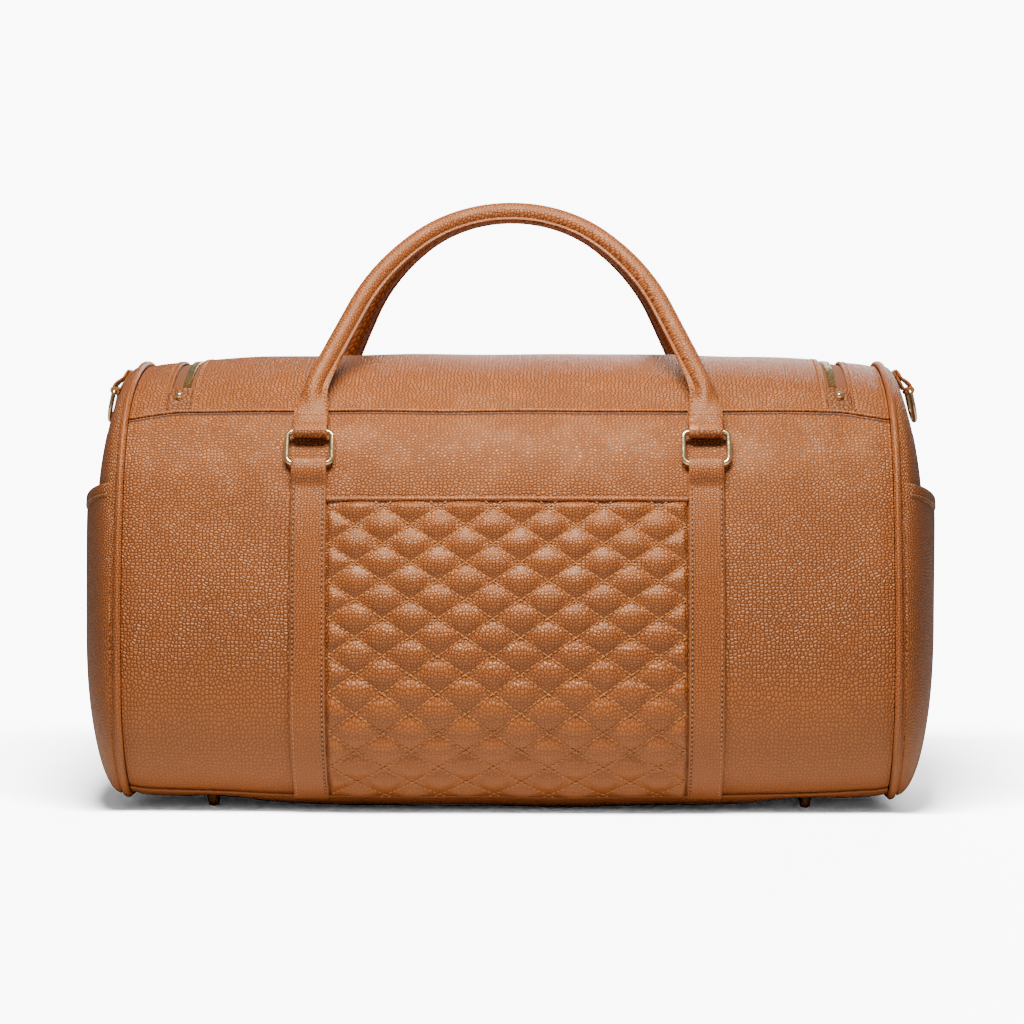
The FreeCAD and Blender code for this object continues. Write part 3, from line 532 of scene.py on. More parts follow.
def srgb(red, green, blue):
    """A colour as the eye reads it, 0 to 255, as the linear colour that a shader wants."""
    def linear(value):
        value /= 255
        return value / 12.92 if value <= 0.04045 else ((value + 0.055) / 1.055) ** 2.4

    return linear(red), linear(green), linear(blue), 1.0


WAVE_SCALE = 1000 * 2 * math.pi / 20  # a wave texture has a band each 2 pi / 20 metres at a scale of 1
UNROLL_HEIGHT = 150.0
UNROLL_RADIUS = 140.0
END_PLATEAU = box_mm("end_panel_right")[1][0]


class Nodes:
    """A short way to write a material's nodes."""

    def __init__(self, name):
        self.material = bpy.data.materials.new(name)
        self.material.use_nodes = True
        self.tree = self.material.node_tree
        self.shader = self.tree.nodes["Principled BSDF"]
        self.place = self.add("ShaderNodeTexCoord").outputs["Object"]

    def add(self, kind, **values):
        node = self.tree.nodes.new(kind)
        for key, value in values.items():
            setattr(node, key, value)
        return node

    def link(self, source, target):
        if isinstance(source, (int, float)):
            target.default_value = source
        else:
            self.tree.links.new(source, target)

    def noise(self, size_mm, detail=2.0, place=None):
        node = self.add("ShaderNodeTexNoise")
        node.inputs["Scale"].default_value = 1000 / size_mm
        node.inputs["Detail"].default_value = detail
        self.link(place or self.place, node.inputs["Vector"])
        return node.outputs["Fac"]

    def cells(self, size_mm, randomness=1.0, place=None, flat=False):
        """Distance to the nearest edge between cells, about half a cell in their middle."""
        node = self.add("ShaderNodeTexVoronoi", feature="DISTANCE_TO_EDGE")
        node.voronoi_dimensions = "2D" if flat else "3D"
        node.inputs["Scale"].default_value = 1000 / size_mm
        node.inputs["Randomness"].default_value = randomness
        self.link(place or self.place, node.inputs["Vector"])
        return node.outputs["Distance"]

    def wave(self, size_mm, direction, place=None):
        node = self.add("ShaderNodeTexWave", bands_direction=direction)
        node.inputs["Scale"].default_value = WAVE_SCALE / size_mm
        self.link(place or self.place, node.inputs["Vector"])
        return node.outputs["Fac"]

    def unrolled(self, wrap):
        """Places on the hide as if it lay flat: round the bag, over its ends, or on a thin rolled piece."""
        axes = self.add("ShaderNodeSeparateXYZ")
        self.link(self.place, axes.inputs[0])
        x, y, z = (axes.outputs[key] for key in "XYZ")
        flat = self.add("ShaderNodeCombineXYZ")
        if wrap == "ends":
            deep = self.math("SUBTRACT", END_PLATEAU * MM, self.math("ABSOLUTE", x))
            for key, value, middle in (("X", y, 0.0), ("Y", z, UNROLL_HEIGHT * MM)):
                turned = self.range(value, middle - 0.04, middle + 0.04, -1.0, 1.0)
                self.link(self.math("ADD", value, self.math("MULTIPLY", deep, turned)), flat.inputs[key])
            return flat.outputs[0]
        if wrap == "rolled":
            slant = self.math("MULTIPLY", y, 0.7)
            self.link(self.math("ADD", x, slant), flat.inputs["X"])
            self.link(self.math("ADD", z, slant), flat.inputs["Y"])
            return flat.outputs[0]
        raised = self.math("SUBTRACT", z, UNROLL_HEIGHT * MM)
        turn = self.math("ARCTAN2", y, raised)
        self.link(x, flat.inputs["X"])
        self.link(self.math("MULTIPLY", turn, UNROLL_RADIUS * MM), flat.inputs["Y"])
        return flat.outputs[0]

    def warped(self, size_mm, amount_mm, place=None):
        """Places pushed about by noise, so that a pattern isn't regular."""
        node = self.add("ShaderNodeTexNoise")
        node.inputs["Scale"].default_value = 1000 / size_mm
        self.link(self.place, node.inputs["Vector"])
        centred = self.add("ShaderNodeVectorMath", operation="SUBTRACT")
        self.link(node.outputs["Color"], centred.inputs[0])
        centred.inputs[1].default_value = (0.5, 0.5, 0.5)
        scaled = self.add("ShaderNodeVectorMath", operation="SCALE")
        self.link(centred.outputs[0], scaled.inputs[0])
        scaled.inputs["Scale"].default_value = 2 * amount_mm * MM
        moved = self.add("ShaderNodeVectorMath", operation="ADD")
        self.link(place or self.place, moved.inputs[0])
        self.link(scaled.outputs[0], moved.inputs[1])
        return moved.outputs[0]

    def math(self, operation, first, second=0.0):
        node = self.add("ShaderNodeMath", operation=operation)
        self.link(first, node.inputs[0])
        self.link(second, node.inputs[1])
        return node.outputs[0]

    def range(self, value, low, high, to_low=0.0, to_high=1.0):
        node = self.add("ShaderNodeMapRange", interpolation_type="SMOOTHSTEP")
        self.link(value, node.inputs["Value"])
        for key, number in (("From Min", low), ("From Max", high), ("To Min", to_low), ("To Max", to_high)):
            node.inputs[key].default_value = number
        return node.outputs["Result"]

    def mix(self, share, first, second):
        node = self.add("ShaderNodeMix", data_type="RGBA")
        self.link(share, node.inputs["Factor"])
        for value, target in ((first, node.inputs["A"]), (second, node.inputs["B"])):
            if isinstance(value, tuple):
                target.default_value = value
            else:
                self.link(value, target)
        return node.outputs["Result"]

    def relief(self, height, depth_mm):
        node = self.add("ShaderNodeBump")
        node.inputs["Strength"].default_value = 1.0
        node.inputs["Distance"].default_value = depth_mm * MM
        self.link(height, node.inputs["Height"])
        self.link(node.outputs["Normal"], self.shader.inputs["Normal"])

    def set(self, **values):
        for key, value in values.items():
            socket = self.shader.inputs[key.replace("_", " ")]
            if isinstance(value, (int, float, tuple)):
                socket.default_value = value
            else:
                self.link(value, socket)


LEATHER_SHINE = 0.65
SHINE_TINT = (1.0, 0.82, 0.64, 1.0)


def shaded(colour, share):
    """A darker shade of the same colour."""
    return tuple(share * c for c in colour[:3]) + (1.0,)


def leather(name, colour, hollow_shade, pebble_mm=2.2, depth_mm=0.42, roughness=0.42, creases=0.15, wrap="round"):
    """Pebbled leather: even rounded pebbles between fine creases, a few longer wrinkles and a grain that is
    pressed flat near the floor; painted shade darkens the creases, and a painted reflection of the pale
    floor makes the colour duller and bluer towards the floor. The grain follows the hide."""
    n = Nodes(name)
    axes = n.add("ShaderNodeSeparateXYZ")
    n.link(n.place, axes.inputs[0])
    # Height over the floor: it flattens the grain, and it sets where the painted floor reflection and
    # crease shade go.
    raised = n.range(axes.outputs["Z"], 0.0, 0.11, 0.35, 1.0)
    patch = n.range(n.noise(10 * pebble_mm, 3), 0.3, 0.6, 0.6, 1.0)
    place = n.warped(5 * pebble_mm, 0.2 * pebble_mm, n.unrolled(wrap))
    pebbles = n.range(n.cells(pebble_mm, 0.8, place, flat=True), 0.0, 0.4)
    wrinkles = n.range(n.cells(10 * pebble_mm, place=n.warped(14, 5)), 0.0, 0.06)
    height = n.math("MULTIPLY", pebbles, n.math("MULTIPLY", patch, raised))
    height = n.math("ADD", height, n.math("MULTIPLY", wrinkles, creases))
    n.relief(height, depth_mm)
    cloudy = n.range(n.noise(55, 4), 0.3, 0.7)
    dye_and_floor_reflection = n.mix(cloudy, colour, shaded(colour, 0.9))
    # Painted reflection of the pale floor: towards the floor the colour turns duller and bluer.
    floor_reflection_tint = (0.86 * colour[0], 0.95 * colour[1], 1.35 * colour[2], 1.0)
    dye_and_floor_reflection = n.mix(raised, floor_reflection_tint, dye_and_floor_reflection)
    # Painted shade: the creases between the pebbles take the crease colour, less of it near the floor.
    crease = n.math("MULTIPLY", n.range(pebbles, 0.0, 0.55, 0.95, 0.0), raised)
    n.set(Base_Color=n.mix(crease, dye_and_floor_reflection, hollow_shade))
    n.set(Roughness=n.range(n.noise(3.5, 3), 0.3, 0.7, roughness - 0.04, roughness + 0.05))
    n.set(Specular_IOR_Level=LEATHER_SHINE, Specular_Tint=SHINE_TINT)
    return n.material


def metal(name, colour, roughness=0.16):
    """Plated metal with faint handling marks."""
    n = Nodes(name)
    marks = n.noise(1.6, 5)
    tarnish = n.range(n.noise(9, 3), 0.45, 0.8)
    worn = shaded(colour, 0.8)
    n.set(Base_Color=n.mix(tarnish, colour, worn), Metallic=1.0)
    n.set(Roughness=n.range(marks, 0.3, 0.8, roughness - 0.04, roughness + 0.1))
    n.relief(marks, 0.012)
    return n.material


def cloth(name, colour, thread_mm, depth_mm=0.18, roughness=0.85):
    """Twill: fine ribs that run slantwise over the threads that cross them, laid round the bag; painted
    shade darkens the hollows of the weave.
    """
    n = Nodes(name)
    laid = n.unrolled("round")
    weave = n.math("MAXIMUM", n.wave(thread_mm, "DIAGONAL", laid), n.wave(1.3 * thread_mm, "X", laid))
    n.relief(weave, depth_mm)
    shade = n.mix(n.range(n.noise(30, 4), 0.3, 0.7), colour, shaded(colour, 0.8))
    # Painted shade: the hollows of the weave take a colour less than half as bright.
    hollow_shade = shaded(colour, 0.45)
    n.set(Base_Color=n.mix(n.range(weave, 0.2, 0.8), hollow_shade, shade), Roughness=roughness)
    n.set(Sheen_Weight=0.25, Sheen_Roughness=0.4)
    return n.material


def twisted_thread(name, colour):
    n = Nodes(name)
    strands = n.wave(0.5, "DIAGONAL")
    n.relief(strands, 0.1)
    # Painted shade: the grooves between the twisted strands take a darker colour.
    hollow_shade = shaded(colour, 0.55)
    n.set(Base_Color=n.mix(n.range(strands, 0.0, 0.6), hollow_shade, colour), Roughness=0.5)
    n.set(Sheen_Weight=0.2)
    return n.material


BROWN = srgb(176, 102, 47)
BROWN_CREASE_SHADE = srgb(92, 44, 20)
LEATHER = leather("pebbled_leather", BROWN, BROWN_CREASE_SHADE)
END_LEATHER = leather("end_leather", BROWN, BROWN_CREASE_SHADE, wrap="ends")
QUILT_LEATHER = leather("quilted_leather", BROWN, BROWN_CREASE_SHADE, 2.0, 0.22, 0.38, 0.1)
TRIM = leather("trim_leather", srgb(174, 100, 47), BROWN_CREASE_SHADE, 1.8, 0.16, 0.42, 0.1)
TAB_LEATHER = leather("creased_leather", srgb(158, 94, 52), srgb(76, 38, 18), 2.6, 0.5, creases=0.4)
HANDLE_LEATHER = leather("handle_leather", srgb(174, 100, 47), BROWN_CREASE_SHADE, 2.0, 0.2, 0.44, 0.1, "rolled")
EDGE_PAINT = leather("edge_paint", srgb(176, 106, 56), srgb(136, 76, 36), 3.0, 0.06, creases=0.1)
GOLD = metal("pale_gold", srgb(240, 216, 166), 0.2)
ANTIQUE = metal("antique_brass", srgb(190, 150, 92), 0.28)
STEEL = metal("washer_steel", srgb(190, 190, 190), 0.35)
GOLD_THREAD = twisted_thread("golden_thread", srgb(222, 152, 78))
TAN_THREAD = twisted_thread("tan_thread", srgb(206, 140, 84))
DARK_THREAD = twisted_thread("tonal_thread", srgb(112, 60, 32))
# Painted shade for the seam grooves and needle holes, laid on as near-black strips.
SEAM_SHADE = twisted_thread("painted_seam_shade", srgb(70, 34, 16))
TAPE = cloth("zip_tape", srgb(142, 82, 42), 1.1, 0.35)
LINING = cloth("lining_twill", srgb(190, 150, 104), 1.2)
FOAM = cloth("foam", srgb(214, 206, 190), 2.0)
ROPE = twisted_thread("rope", srgb(214, 204, 182))

# ---- lines that the panels share ----

# Thickness of each kind of sheet.
LEATHER_MM = 2.0
TAB_MM = 1.7
HEM_MM = 1.2
QUILT_MM = 0.9
LINING_MM = 0.7
LID_LINING_MM = 0.8
FOAM_MM = 0.6
SEAM_DIP = 5.0
SEAM_DIP_RUN = 32.0


def top_seam(x):
    """Distance round the section of the top seam, which drops towards the piping."""
    return S_SEAM - SEAM_DIP * smooth_step((np.abs(x) - HALF_PANEL + SEAM_DIP_RUN) / SEAM_DIP_RUN)


def back_top_seam(x):
    return 2 * S_TOP - top_seam(x)


ACROSS = both_ways(steps((0, 3.0), (205, 2.0), (218, 1.0), (HALF_PANEL, 0)))


def face_side(points, sign):
    """The same points on the front (-1) or on the back (+1)."""
    return points * np.array([1.0, -sign, 1.0])


def sewn_line(x, s, out, stitch, sign=-1):
    """Stitches along a line on the bag's front (-1), its back (+1) or its top (-1)."""
    line = face_side(skin(x, s, out), sign)
    return thread(line, face_side(skin_normal(s, line), sign), *stitch)


def build_walls():
    up = steps((0, 0.8), (6, 3.0), (200, 1.5), (216, 0.45), (224, 0.45), (226, 0))
    x, up = np.meshgrid(ACROSS, up / up[-1])
    low = S_LOW + 0.5
    s = low + (top_seam(x) + 1.5 - low) * up
    below = top_seam(x) - s
    out = -0.9 * bump((below - 1.9) / 0.8) - 0.7 * smooth_step((1.2 - below) / 1.5)
    out -= 1.0 * smooth_step((S_LOW + 3.5 - s) / 3.5)
    points = skin(x, s, out)
    for face, sign in FACES:
        outward = sign * BACK
        add_piece(f"{face}_panel_leather", shell(face_side(points, sign), LEATHER_MM, outward), LEATHER,
                  "leather_panels", node=f"{face}_panel")


FOOT_RADIUS = 4.2


def build_bottom():
    along = both_ways(steps((0, 3.5), (S_LOW - 8, 1.5), (S_LOW - 0.5, 0)))
    x, s = np.meshgrid(ACROSS, along)
    foot_x, foot_y, _top = box_mm("feet")[1] - FOOT_RADIUS
    at_foot = bump((np.abs(x) - foot_x) / 24) * bump((np.abs(s) - foot_y) / 16)
    out = -1.2 * smooth_step((np.abs(s) - S_LOW + 3.5) / 3.5) - swell(x, s) * at_foot
    points = skin(x, s, out)
    points[..., 2] += hang(x, points[..., 2]) * at_foot
    add_piece("bottom_panel_leather", shell(points, LEATHER_MM, -UP), LEATHER, "leather_panels",
              node="bottom_panel")


def seam_groove(line, up, half_width=0.55, height=0.16):
    """A near-black strip just under a row of stitches: painted shade of the groove and needle holes that
    the stitches pull into the leather.
    """
    across = unit(np.cross(tangents(line), up))
    return sweep(line - 0.1 * up, across, up, oval_profile(half_width, height, 8))


FOLD_UP = 0.6
FOLD_OUT = 0.25
STITCH_DOWN = 1.7
WELT_DOWN = 1.5


def build_seam_lines():
    """The folded edge along each top seam with its stitches, and a welt below each bottom seam."""
    x = ACROSS
    ridge = oval_profile(1.15, 0.95, 12)
    ridges, threads, groove_shades = [], [], []
    for sign in (-1, 1):
        line = face_side(skin(x, top_seam(x) + FOLD_UP, FOLD_OUT), sign)
        up = face_side(skin_normal(top_seam(x), line), sign)
        over = unit(np.cross(tangents(line), up))
        ridges.append(sweep(line, over, up, ridge))
        below = face_side(skin(x, top_seam(x) - STITCH_DOWN, -0.5), sign)
        threads.append(thread(below, up, *SEAM_STITCH))
        groove_shades.append(seam_groove(below, up, 0.7))
        line = face_side(skin(x, S_LOW - WELT_DOWN, -0.35), sign)
        up = face_side(skin_normal(S_LOW - WELT_DOWN, line), sign)
        ridges.append(sweep(line, unit(np.cross(tangents(line), up)), up, ridge))
    add_piece("seam_folds", merge(ridges), TRIM, "leather_panels")
    add_piece("top_seam_stitches", merge(threads), DARK_THREAD, "leather_trim")
    add_piece("top_seam_groove_shades", merge(groove_shades), SEAM_SHADE, "leather_trim")


# ---- top, lid and zip ----

ZIP_HALF = 194.5
ZIP_CORNER = 24.0
BODY_MARGIN = 9.0
LID_MARGIN = 4.5
ZIP_SPLIT = 0.2
ZIP_BACK = float(box_mm("zip_teeth_lid")[1][1]) + ZIP_SPLIT
ZIP_STRAIGHT = ZIP_BACK - ZIP_CORNER
TAB_TOP_LEAN = 58


def zip_route(outward, start_lean=SEAM_LEAN, gap=2.0):
    """x and s along the zip, from the left front, round the back and to the right front. The counts don't
    depend on outward, so that two routes match point by point."""
    end = float(s_at_depth(ZIP_STRAIGHT))
    leg_s = steps((s_at_lean(start_lean), gap), (end, 0))[:-1]
    turn = np.linspace(0, math.pi / 2, 14)[:-1]
    radius = ZIP_CORNER + outward
    half = ZIP_HALF + outward
    run = steps((-(ZIP_HALF - ZIP_CORNER), gap * 1.5), (0, 0))
    x = np.concatenate([np.full(len(leg_s), -half), -half + radius * (1 - np.cos(turn)), run])
    y_turn = ZIP_STRAIGHT + radius * np.sin(turn)
    back_s = np.full(len(run), float(s_at_depth(ZIP_BACK + outward)))
    s = np.concatenate([leg_s, s_at_depth(y_turn), back_s])
    return np.concatenate([x, -x[-2::-1]]), np.concatenate([s, s[-2::-1]])


def outer_route(gap=2.0):
    """The surround's outer edge, matched to zip_route: up the piping, round the corner, along the seam."""
    x, s = zip_route(0, gap=gap)
    legs = len(steps((s_at_lean(SEAM_LEAN), gap), (float(s_at_depth(ZIP_STRAIGHT)), 0))) - 1
    turns = 13
    corner = -HALF_PANEL
    half_turn = np.arange(turns) / turns
    along_side = np.clip(2 * half_turn, 0, 1)
    along_back = np.clip(2 * half_turn - 1, 0, 1)
    start_s = float(s_at_depth(ZIP_STRAIGHT))
    turn_s = start_s + (back_top_seam(corner) - start_s) * along_side
    turn_x = corner + (-(ZIP_HALF - ZIP_CORNER) - corner) * along_back
    turn_s = np.where(along_back > 0, back_top_seam(turn_x), turn_s)
    run = x[legs + turns: len(x) // 2 + 1]
    left_x = np.concatenate([np.full(legs, corner), turn_x, run])
    leg_s = np.linspace(float(top_seam(corner)), s[legs], legs + 1)[:-1]
    left_s = np.concatenate([leg_s, turn_s, back_top_seam(run)])
    return np.concatenate([left_x, -left_x[-2::-1]]), np.concatenate([left_s, left_s[-2::-1]])


def folded_edge(distance):
    """How the face rises over the fold along a cut edge and dips at its row of stitches."""
    return 0.55 * bump(distance / 2.0) - 0.45 * bump((distance - 3.0) / 0.7) - 0.5 * bump(distance / 0.5)


SURROUND_ROWS = (0, 0.02, 0.05, 0.09, 0.13, 0.17, 0.22, 0.3, 0.4, 0.52, 0.64, 0.76, 0.88, 0.94, 0.98, 1.0)


def build_surround():
    inner_x, inner_s = zip_route(BODY_MARGIN)
    outer_x, outer_s = outer_route()
    share = np.array(SURROUND_ROWS)[:, None]
    x = inner_x + (outer_x - inner_x) * share
    s = inner_s + (outer_s - inner_s) * share
    distance = np.hypot(x - inner_x, s - inner_s)
    points = skin(x, s, folded_edge(distance))
    add_piece("top_surround_leather", shell(points, LEATHER_MM, UP), LEATHER, "leather_panels",
              node="top_surround")
    line_x, line_s = zip_route(BODY_MARGIN + STITCH_INSET, SEAM_LEAN + 1)
    add_piece("surround_stitches", sewn_line(line_x, line_s, 0.15, EDGE_STITCH), TAN_THREAD, "leather_trim")


LID_HALF = ZIP_HALF - LID_MARGIN
LID_BACK = ZIP_BACK - LID_MARGIN
LID_CORNER = ZIP_CORNER - LID_MARGIN
STITCH_INSET = 3.0
HINGE_START = S_SEAM + 1.0
HINGE_END = S_SEAM + 17.0


def lid_width(y):
    """Half the lid's width at a depth, smaller round its back corners."""
    past = np.clip(y - (LID_BACK - LID_CORNER), 0, LID_CORNER)
    return LID_HALF - LID_CORNER + np.sqrt(np.maximum(LID_CORNER ** 2 - past ** 2, 0))


def edge_distance(x, y):
    """Distance inside the lid's side and back edges."""
    past_x = np.abs(x) - (LID_HALF - LID_CORNER)
    past_y = y - (LID_BACK - LID_CORNER)
    corner = LID_CORNER - np.hypot(np.maximum(past_x, 0), np.maximum(past_y, 0))
    straight = LID_CORNER - np.maximum(past_x, past_y)
    return np.minimum(np.where((past_x > 0) & (past_y > 0), corner, straight), 60)


def lid_grid(inset, gap):
    """x, s and plan depth of points over the lid, inset from its side and back edges."""
    end = float(s_at_depth(LID_BACK - inset))
    s = steps((S_SEAM + 1.2, 1.2), (S_SEAM + 8, gap), (end - 34, 1.6), (end - 6, 0.7), (end, 0))
    share = both_ways(steps((0, gap / LID_HALF), (0.93, 1.12 / LID_HALF), (0.97, 0.6 / LID_HALF), (1, 0)))
    y = outline(s)[0]
    width = lid_width(y + inset) - inset
    return share[None, :] * width[:, None], np.broadcast_to(s[:, None], (len(s), len(share))), y


def join_to_front(piece):
    """Leather that runs from the front panel's seam into the lid; its placing is baked into its mesh."""
    def point(s):
        return tuple(skin(0.0, s) * MM * np.array([0.0, 1.0, 1.0]))

    point(HINGE_START)
    point(HINGE_END)
    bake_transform(piece)


def build_lid():
    x, s, y = lid_grid(0.0, 3.2)
    out = folded_edge(edge_distance(x, y[:, None])) + 0.35 * bump((s - S_SEAM) / 6)
    points = skin(x, s, out)
    piece = new_piece("lid_leather", *shell(points, LEATHER_MM, UP),
                      LEATHER, "leather_panels")
    join_to_front(piece)
    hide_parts("lid_panel")

    x, s, y = lid_grid(8.5, 4.0)
    fold = 0.35 * np.sin(x / 9 + s / 23) + 0.25 * np.sin(x / 17 - s / 11)
    points = skin(x, s, -LEATHER_MM - 1.6 + fold * smooth_step((s - S_SEAM) / 30))
    piece = new_piece("lid_lining_cloth", *shell(points, LID_LINING_MM, UP), LINING, "lining_cloth")
    join_to_front(piece)
    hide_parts("lid_lining")

    line_x, line_s = zip_route(-LID_MARGIN - STITCH_INSET, SEAM_LEAN + 1)
    seam = sewn_line(line_x, line_s, 0.15, EDGE_STITCH)
    piece = new_piece("lid_stitches", *seam, TAN_THREAD, "leather_trim")
    join_to_front(piece)


TAPE_REACH = 13.0
TAPE_OUT = -2.0
TAPE_MM = 0.8


def tape_strip(near, far, start_lean):
    rows = [zip_route(o, start_lean) for o in np.linspace(near, far, 6)]
    x = np.stack([r[0] for r in rows])
    s = np.stack([r[1] for r in rows])
    share = np.linspace(0, 1, 6)[:, None]
    return shell(skin(x, s, TAPE_OUT + 0.5 * bump(share * 3) - 0.5 * bump((share - 0.75) * 6)),
                 TAPE_MM, UP)


TOOTH_PITCH = 2.2
# Half the tooth's length, then how far across and how high its near and far edges are, from its foot up.
TOOTH_LEVELS = (
    (0.5, (0.0, 0.0), (2.5, 0.0)),
    (0.5, (-0.3, 0.55), (2.6, 0.6)),
    (0.42, (-0.1, 1.25), (2.3, 1.3)),
    (0.3, (0.1, 1.6), (2.0, 1.6)),
)
TOOTH = np.array([
    (end * half, *edge)
    for half, near, far in TOOTH_LEVELS
    for end, edge in ((-1, near), (1, near), (1, far), (-1, far))
])


def teeth(side, start_lean, shift):
    """A row of metal teeth: side is +1 on the fixed tape and -1 on the lid's tape."""
    x, s = zip_route(0, start_lean, 1.0)
    beside_x, beside_s = zip_route(side * 1.0, start_lean, 1.0)
    line = skin(x, s, TAPE_OUT)
    beside = skin(beside_x, beside_s, TAPE_OUT)
    run = run_along(line)
    place = np.arange(0.8 + shift, run[-1] - 0.8, TOOTH_PITCH)
    centre = along_line(place, run, line)
    lateral = unit(along_line(place, run, beside) - centre)
    along = unit(along_line(place, run, tangents(line)))
    up = unit(np.cross(along, lateral)) * (1 if side < 0 else -1)
    up = up * np.sign(up[:, 2:3] + 1e-9)
    points = (centre[:, None] + TOOTH[None, :, :1] * along[:, None] + TOOTH[None, :, 1:2] * lateral[:, None]
              + TOOTH[None, :, 2:] * up[:, None])
    rings = grid_faces(4, 4, close_columns=True).tolist() + [[3, 2, 1, 0], [12, 13, 14, 15]]
    if side > 0:
        rings = [face[::-1] for face in rings]
    faces = [[v + 16 * k for v in face] for k in range(len(place)) for face in rings]
    return points.reshape(-1, 3), faces


def build_zip():
    for name, node, near, far, lean, body in (
        ("zip_tape_fixed", "zip_tape_body", ZIP_SPLIT, TAPE_REACH, SEAM_LEAN + 1, "bag"),
        ("zip_tape_on_lid", "zip_tape_lid", -ZIP_SPLIT, -TAPE_REACH, TAB_TOP_LEAN + 1, "lid"),
    ):
        add_piece(name, tape_strip(near, far, lean), TAPE, "zip_tape", body, node)
    for name, node, side, shift, body in (
        ("zip_teeth_fixed", "zip_teeth_body", 1, 0.0, "bag"),
        ("zip_teeth_on_lid", "zip_teeth_lid", -1, TOOTH_PITCH / 2, "lid"),
    ):
        add_piece(name, teeth(side, TAB_TOP_LEAN + 1.2, shift), GOLD, "zip_teeth", body, node, sharp=30)


TAB_X = ZIP_HALF + 2.4
TAB_HALF = 6.6
TAB_CORNER = 4.0


def build_stop_tabs():
    top = s_at_lean(TAB_TOP_LEAN)
    low = s_at_lean(SEAM_LEAN) + 1.0
    s = steps((low, 0.9), (top - TAB_CORNER, 0.5), (top, 0))
    past = np.clip(s - (top - TAB_CORNER), 0, TAB_CORNER)
    width = TAB_HALF - TAB_CORNER + np.sqrt(TAB_CORNER ** 2 - past ** 2 + 1e-6)
    share = np.linspace(-1, 1, 17)
    local = share[None, :] * width[:, None]
    s = np.broadcast_to(s[:, None], local.shape)
    crease = 0.22 * np.sin(local * 2.3 + s * 1.1) + 0.2 * np.sin(local * 1.3 - s * 2.1 + 1)
    out = 1.5 + crease * (1 - share[None, :] ** 4) - 0.5 * bump((s - low) / 1.5)
    studs = []
    for side, sign in SIDES:
        points = skin(sign * TAB_X + local, s, out)
        add_piece(f"zip_stop_tab_{side}_leather", shell(points, TAB_MM, UP - BACK), TAB_LEATHER,
                  "leather_trim", node=f"zip_stop_tab_{side}")
        middle = (low + top) / 2 - 0.5
        foot = skin(sign * TAB_X, middle, 1.4)
        up = skin_normal(np.array([middle]), foot[None])[0]
        profile = [(1.9, 0.0), (1.9, 0.3)] + ball_profile(2.35, 2.0, 50, 179)
        studs.append(lathe(profile, foot, up))
    add_piece("stop_tab_studs", merge(studs), GOLD, "hardware", node="zip_tab_studs")


def plate(outline_points, thickness, bevel, place, along, beside, up):
    """A flat part with rounded edges: outline (along, beside) about place."""
    flat = np.array(outline_points, float)
    centre = flat.mean(0)
    inward = flat - bevel * unit(flat - centre)
    rings = [(inward, 0.0), (flat, bevel), (flat, thickness - bevel), (inward, thickness)]
    points = [place + ring[:, :1] * along + ring[:, 1:] * beside + height * up for ring, height in rings]
    count = len(flat)
    faces = grid_faces(4, count, close_columns=True).tolist()
    faces += [list(range(count))[::-1], [3 * count + k for k in range(count)]]
    points = np.concatenate(points)
    return points, face_outward(points, faces, points.mean(0))


def rounded(half_x, half_y, corner, count=5):
    """A rounded rectangle's outline."""
    points = []
    for quarter in range(4):
        turn = math.pi / 2 * quarter + np.linspace(0, math.pi / 2, count)
        x = (half_x - corner) * (1 if quarter in (0, 3) else -1)
        y = (half_y - corner) * (1 if quarter in (0, 1) else -1)
        points += [(x + corner * math.cos(t), y + corner * math.sin(t)) for t in turn]
    return points


PIN_RADIUS = 0.68
PIN_REACH = 3.3
SLIDER_HALF = 3.7


def build_sliders():
    for side, sign in SIDES:
        pin = joint_place(f"zip_pull_{side}_flip")
        down = np.array(JOINTS[f"zip_pull_{side}_flip"]["axis"])
        down = down * np.sign(down[1])
        up = np.cross(RIGHT, down)
        face = pin - up * SLIDER_HALF
        nose = [(5.2, -1.6), (5.5, 0.0), (5.2, 1.6), (3.2, SLIDER_HALF), (-2.6, SLIDER_HALF), (-4.6, 2.6),
                (-5.4, 0.9), (-5.4, -0.9), (-4.6, -2.6), (-2.6, -SLIDER_HALF), (3.2, -SLIDER_HALF)]
        nose = [(sign * x, y) for x, y in nose]
        parts = [plate(nose, 1.5, 0.35, face + up * 0.2, RIGHT, down, up)]
        for edge in (-1, 1):
            post = rounded(2.0, 0.5, 0.45)
            parts.append(plate(post, 3.6, 0.3, face + up * 1.2 + down * edge * 2.8, RIGHT, down, up))
        line = pin + np.linspace(-PIN_REACH, PIN_REACH, 5)[:, None] * down
        parts.append(sweep(line, np.tile(RIGHT, (5, 1)), np.tile(up, (5, 1)),
                           oval_profile(PIN_RADIUS, PIN_RADIUS, 12)))
        add_piece(f"zip_slider_{side}_metal", merge(parts), GOLD, "hardware", f"zip_slider_{side}",
                  f"zip_slider_{side}", sharp=35)
        build_pull(side, sign, pin, RIGHT, down, up)


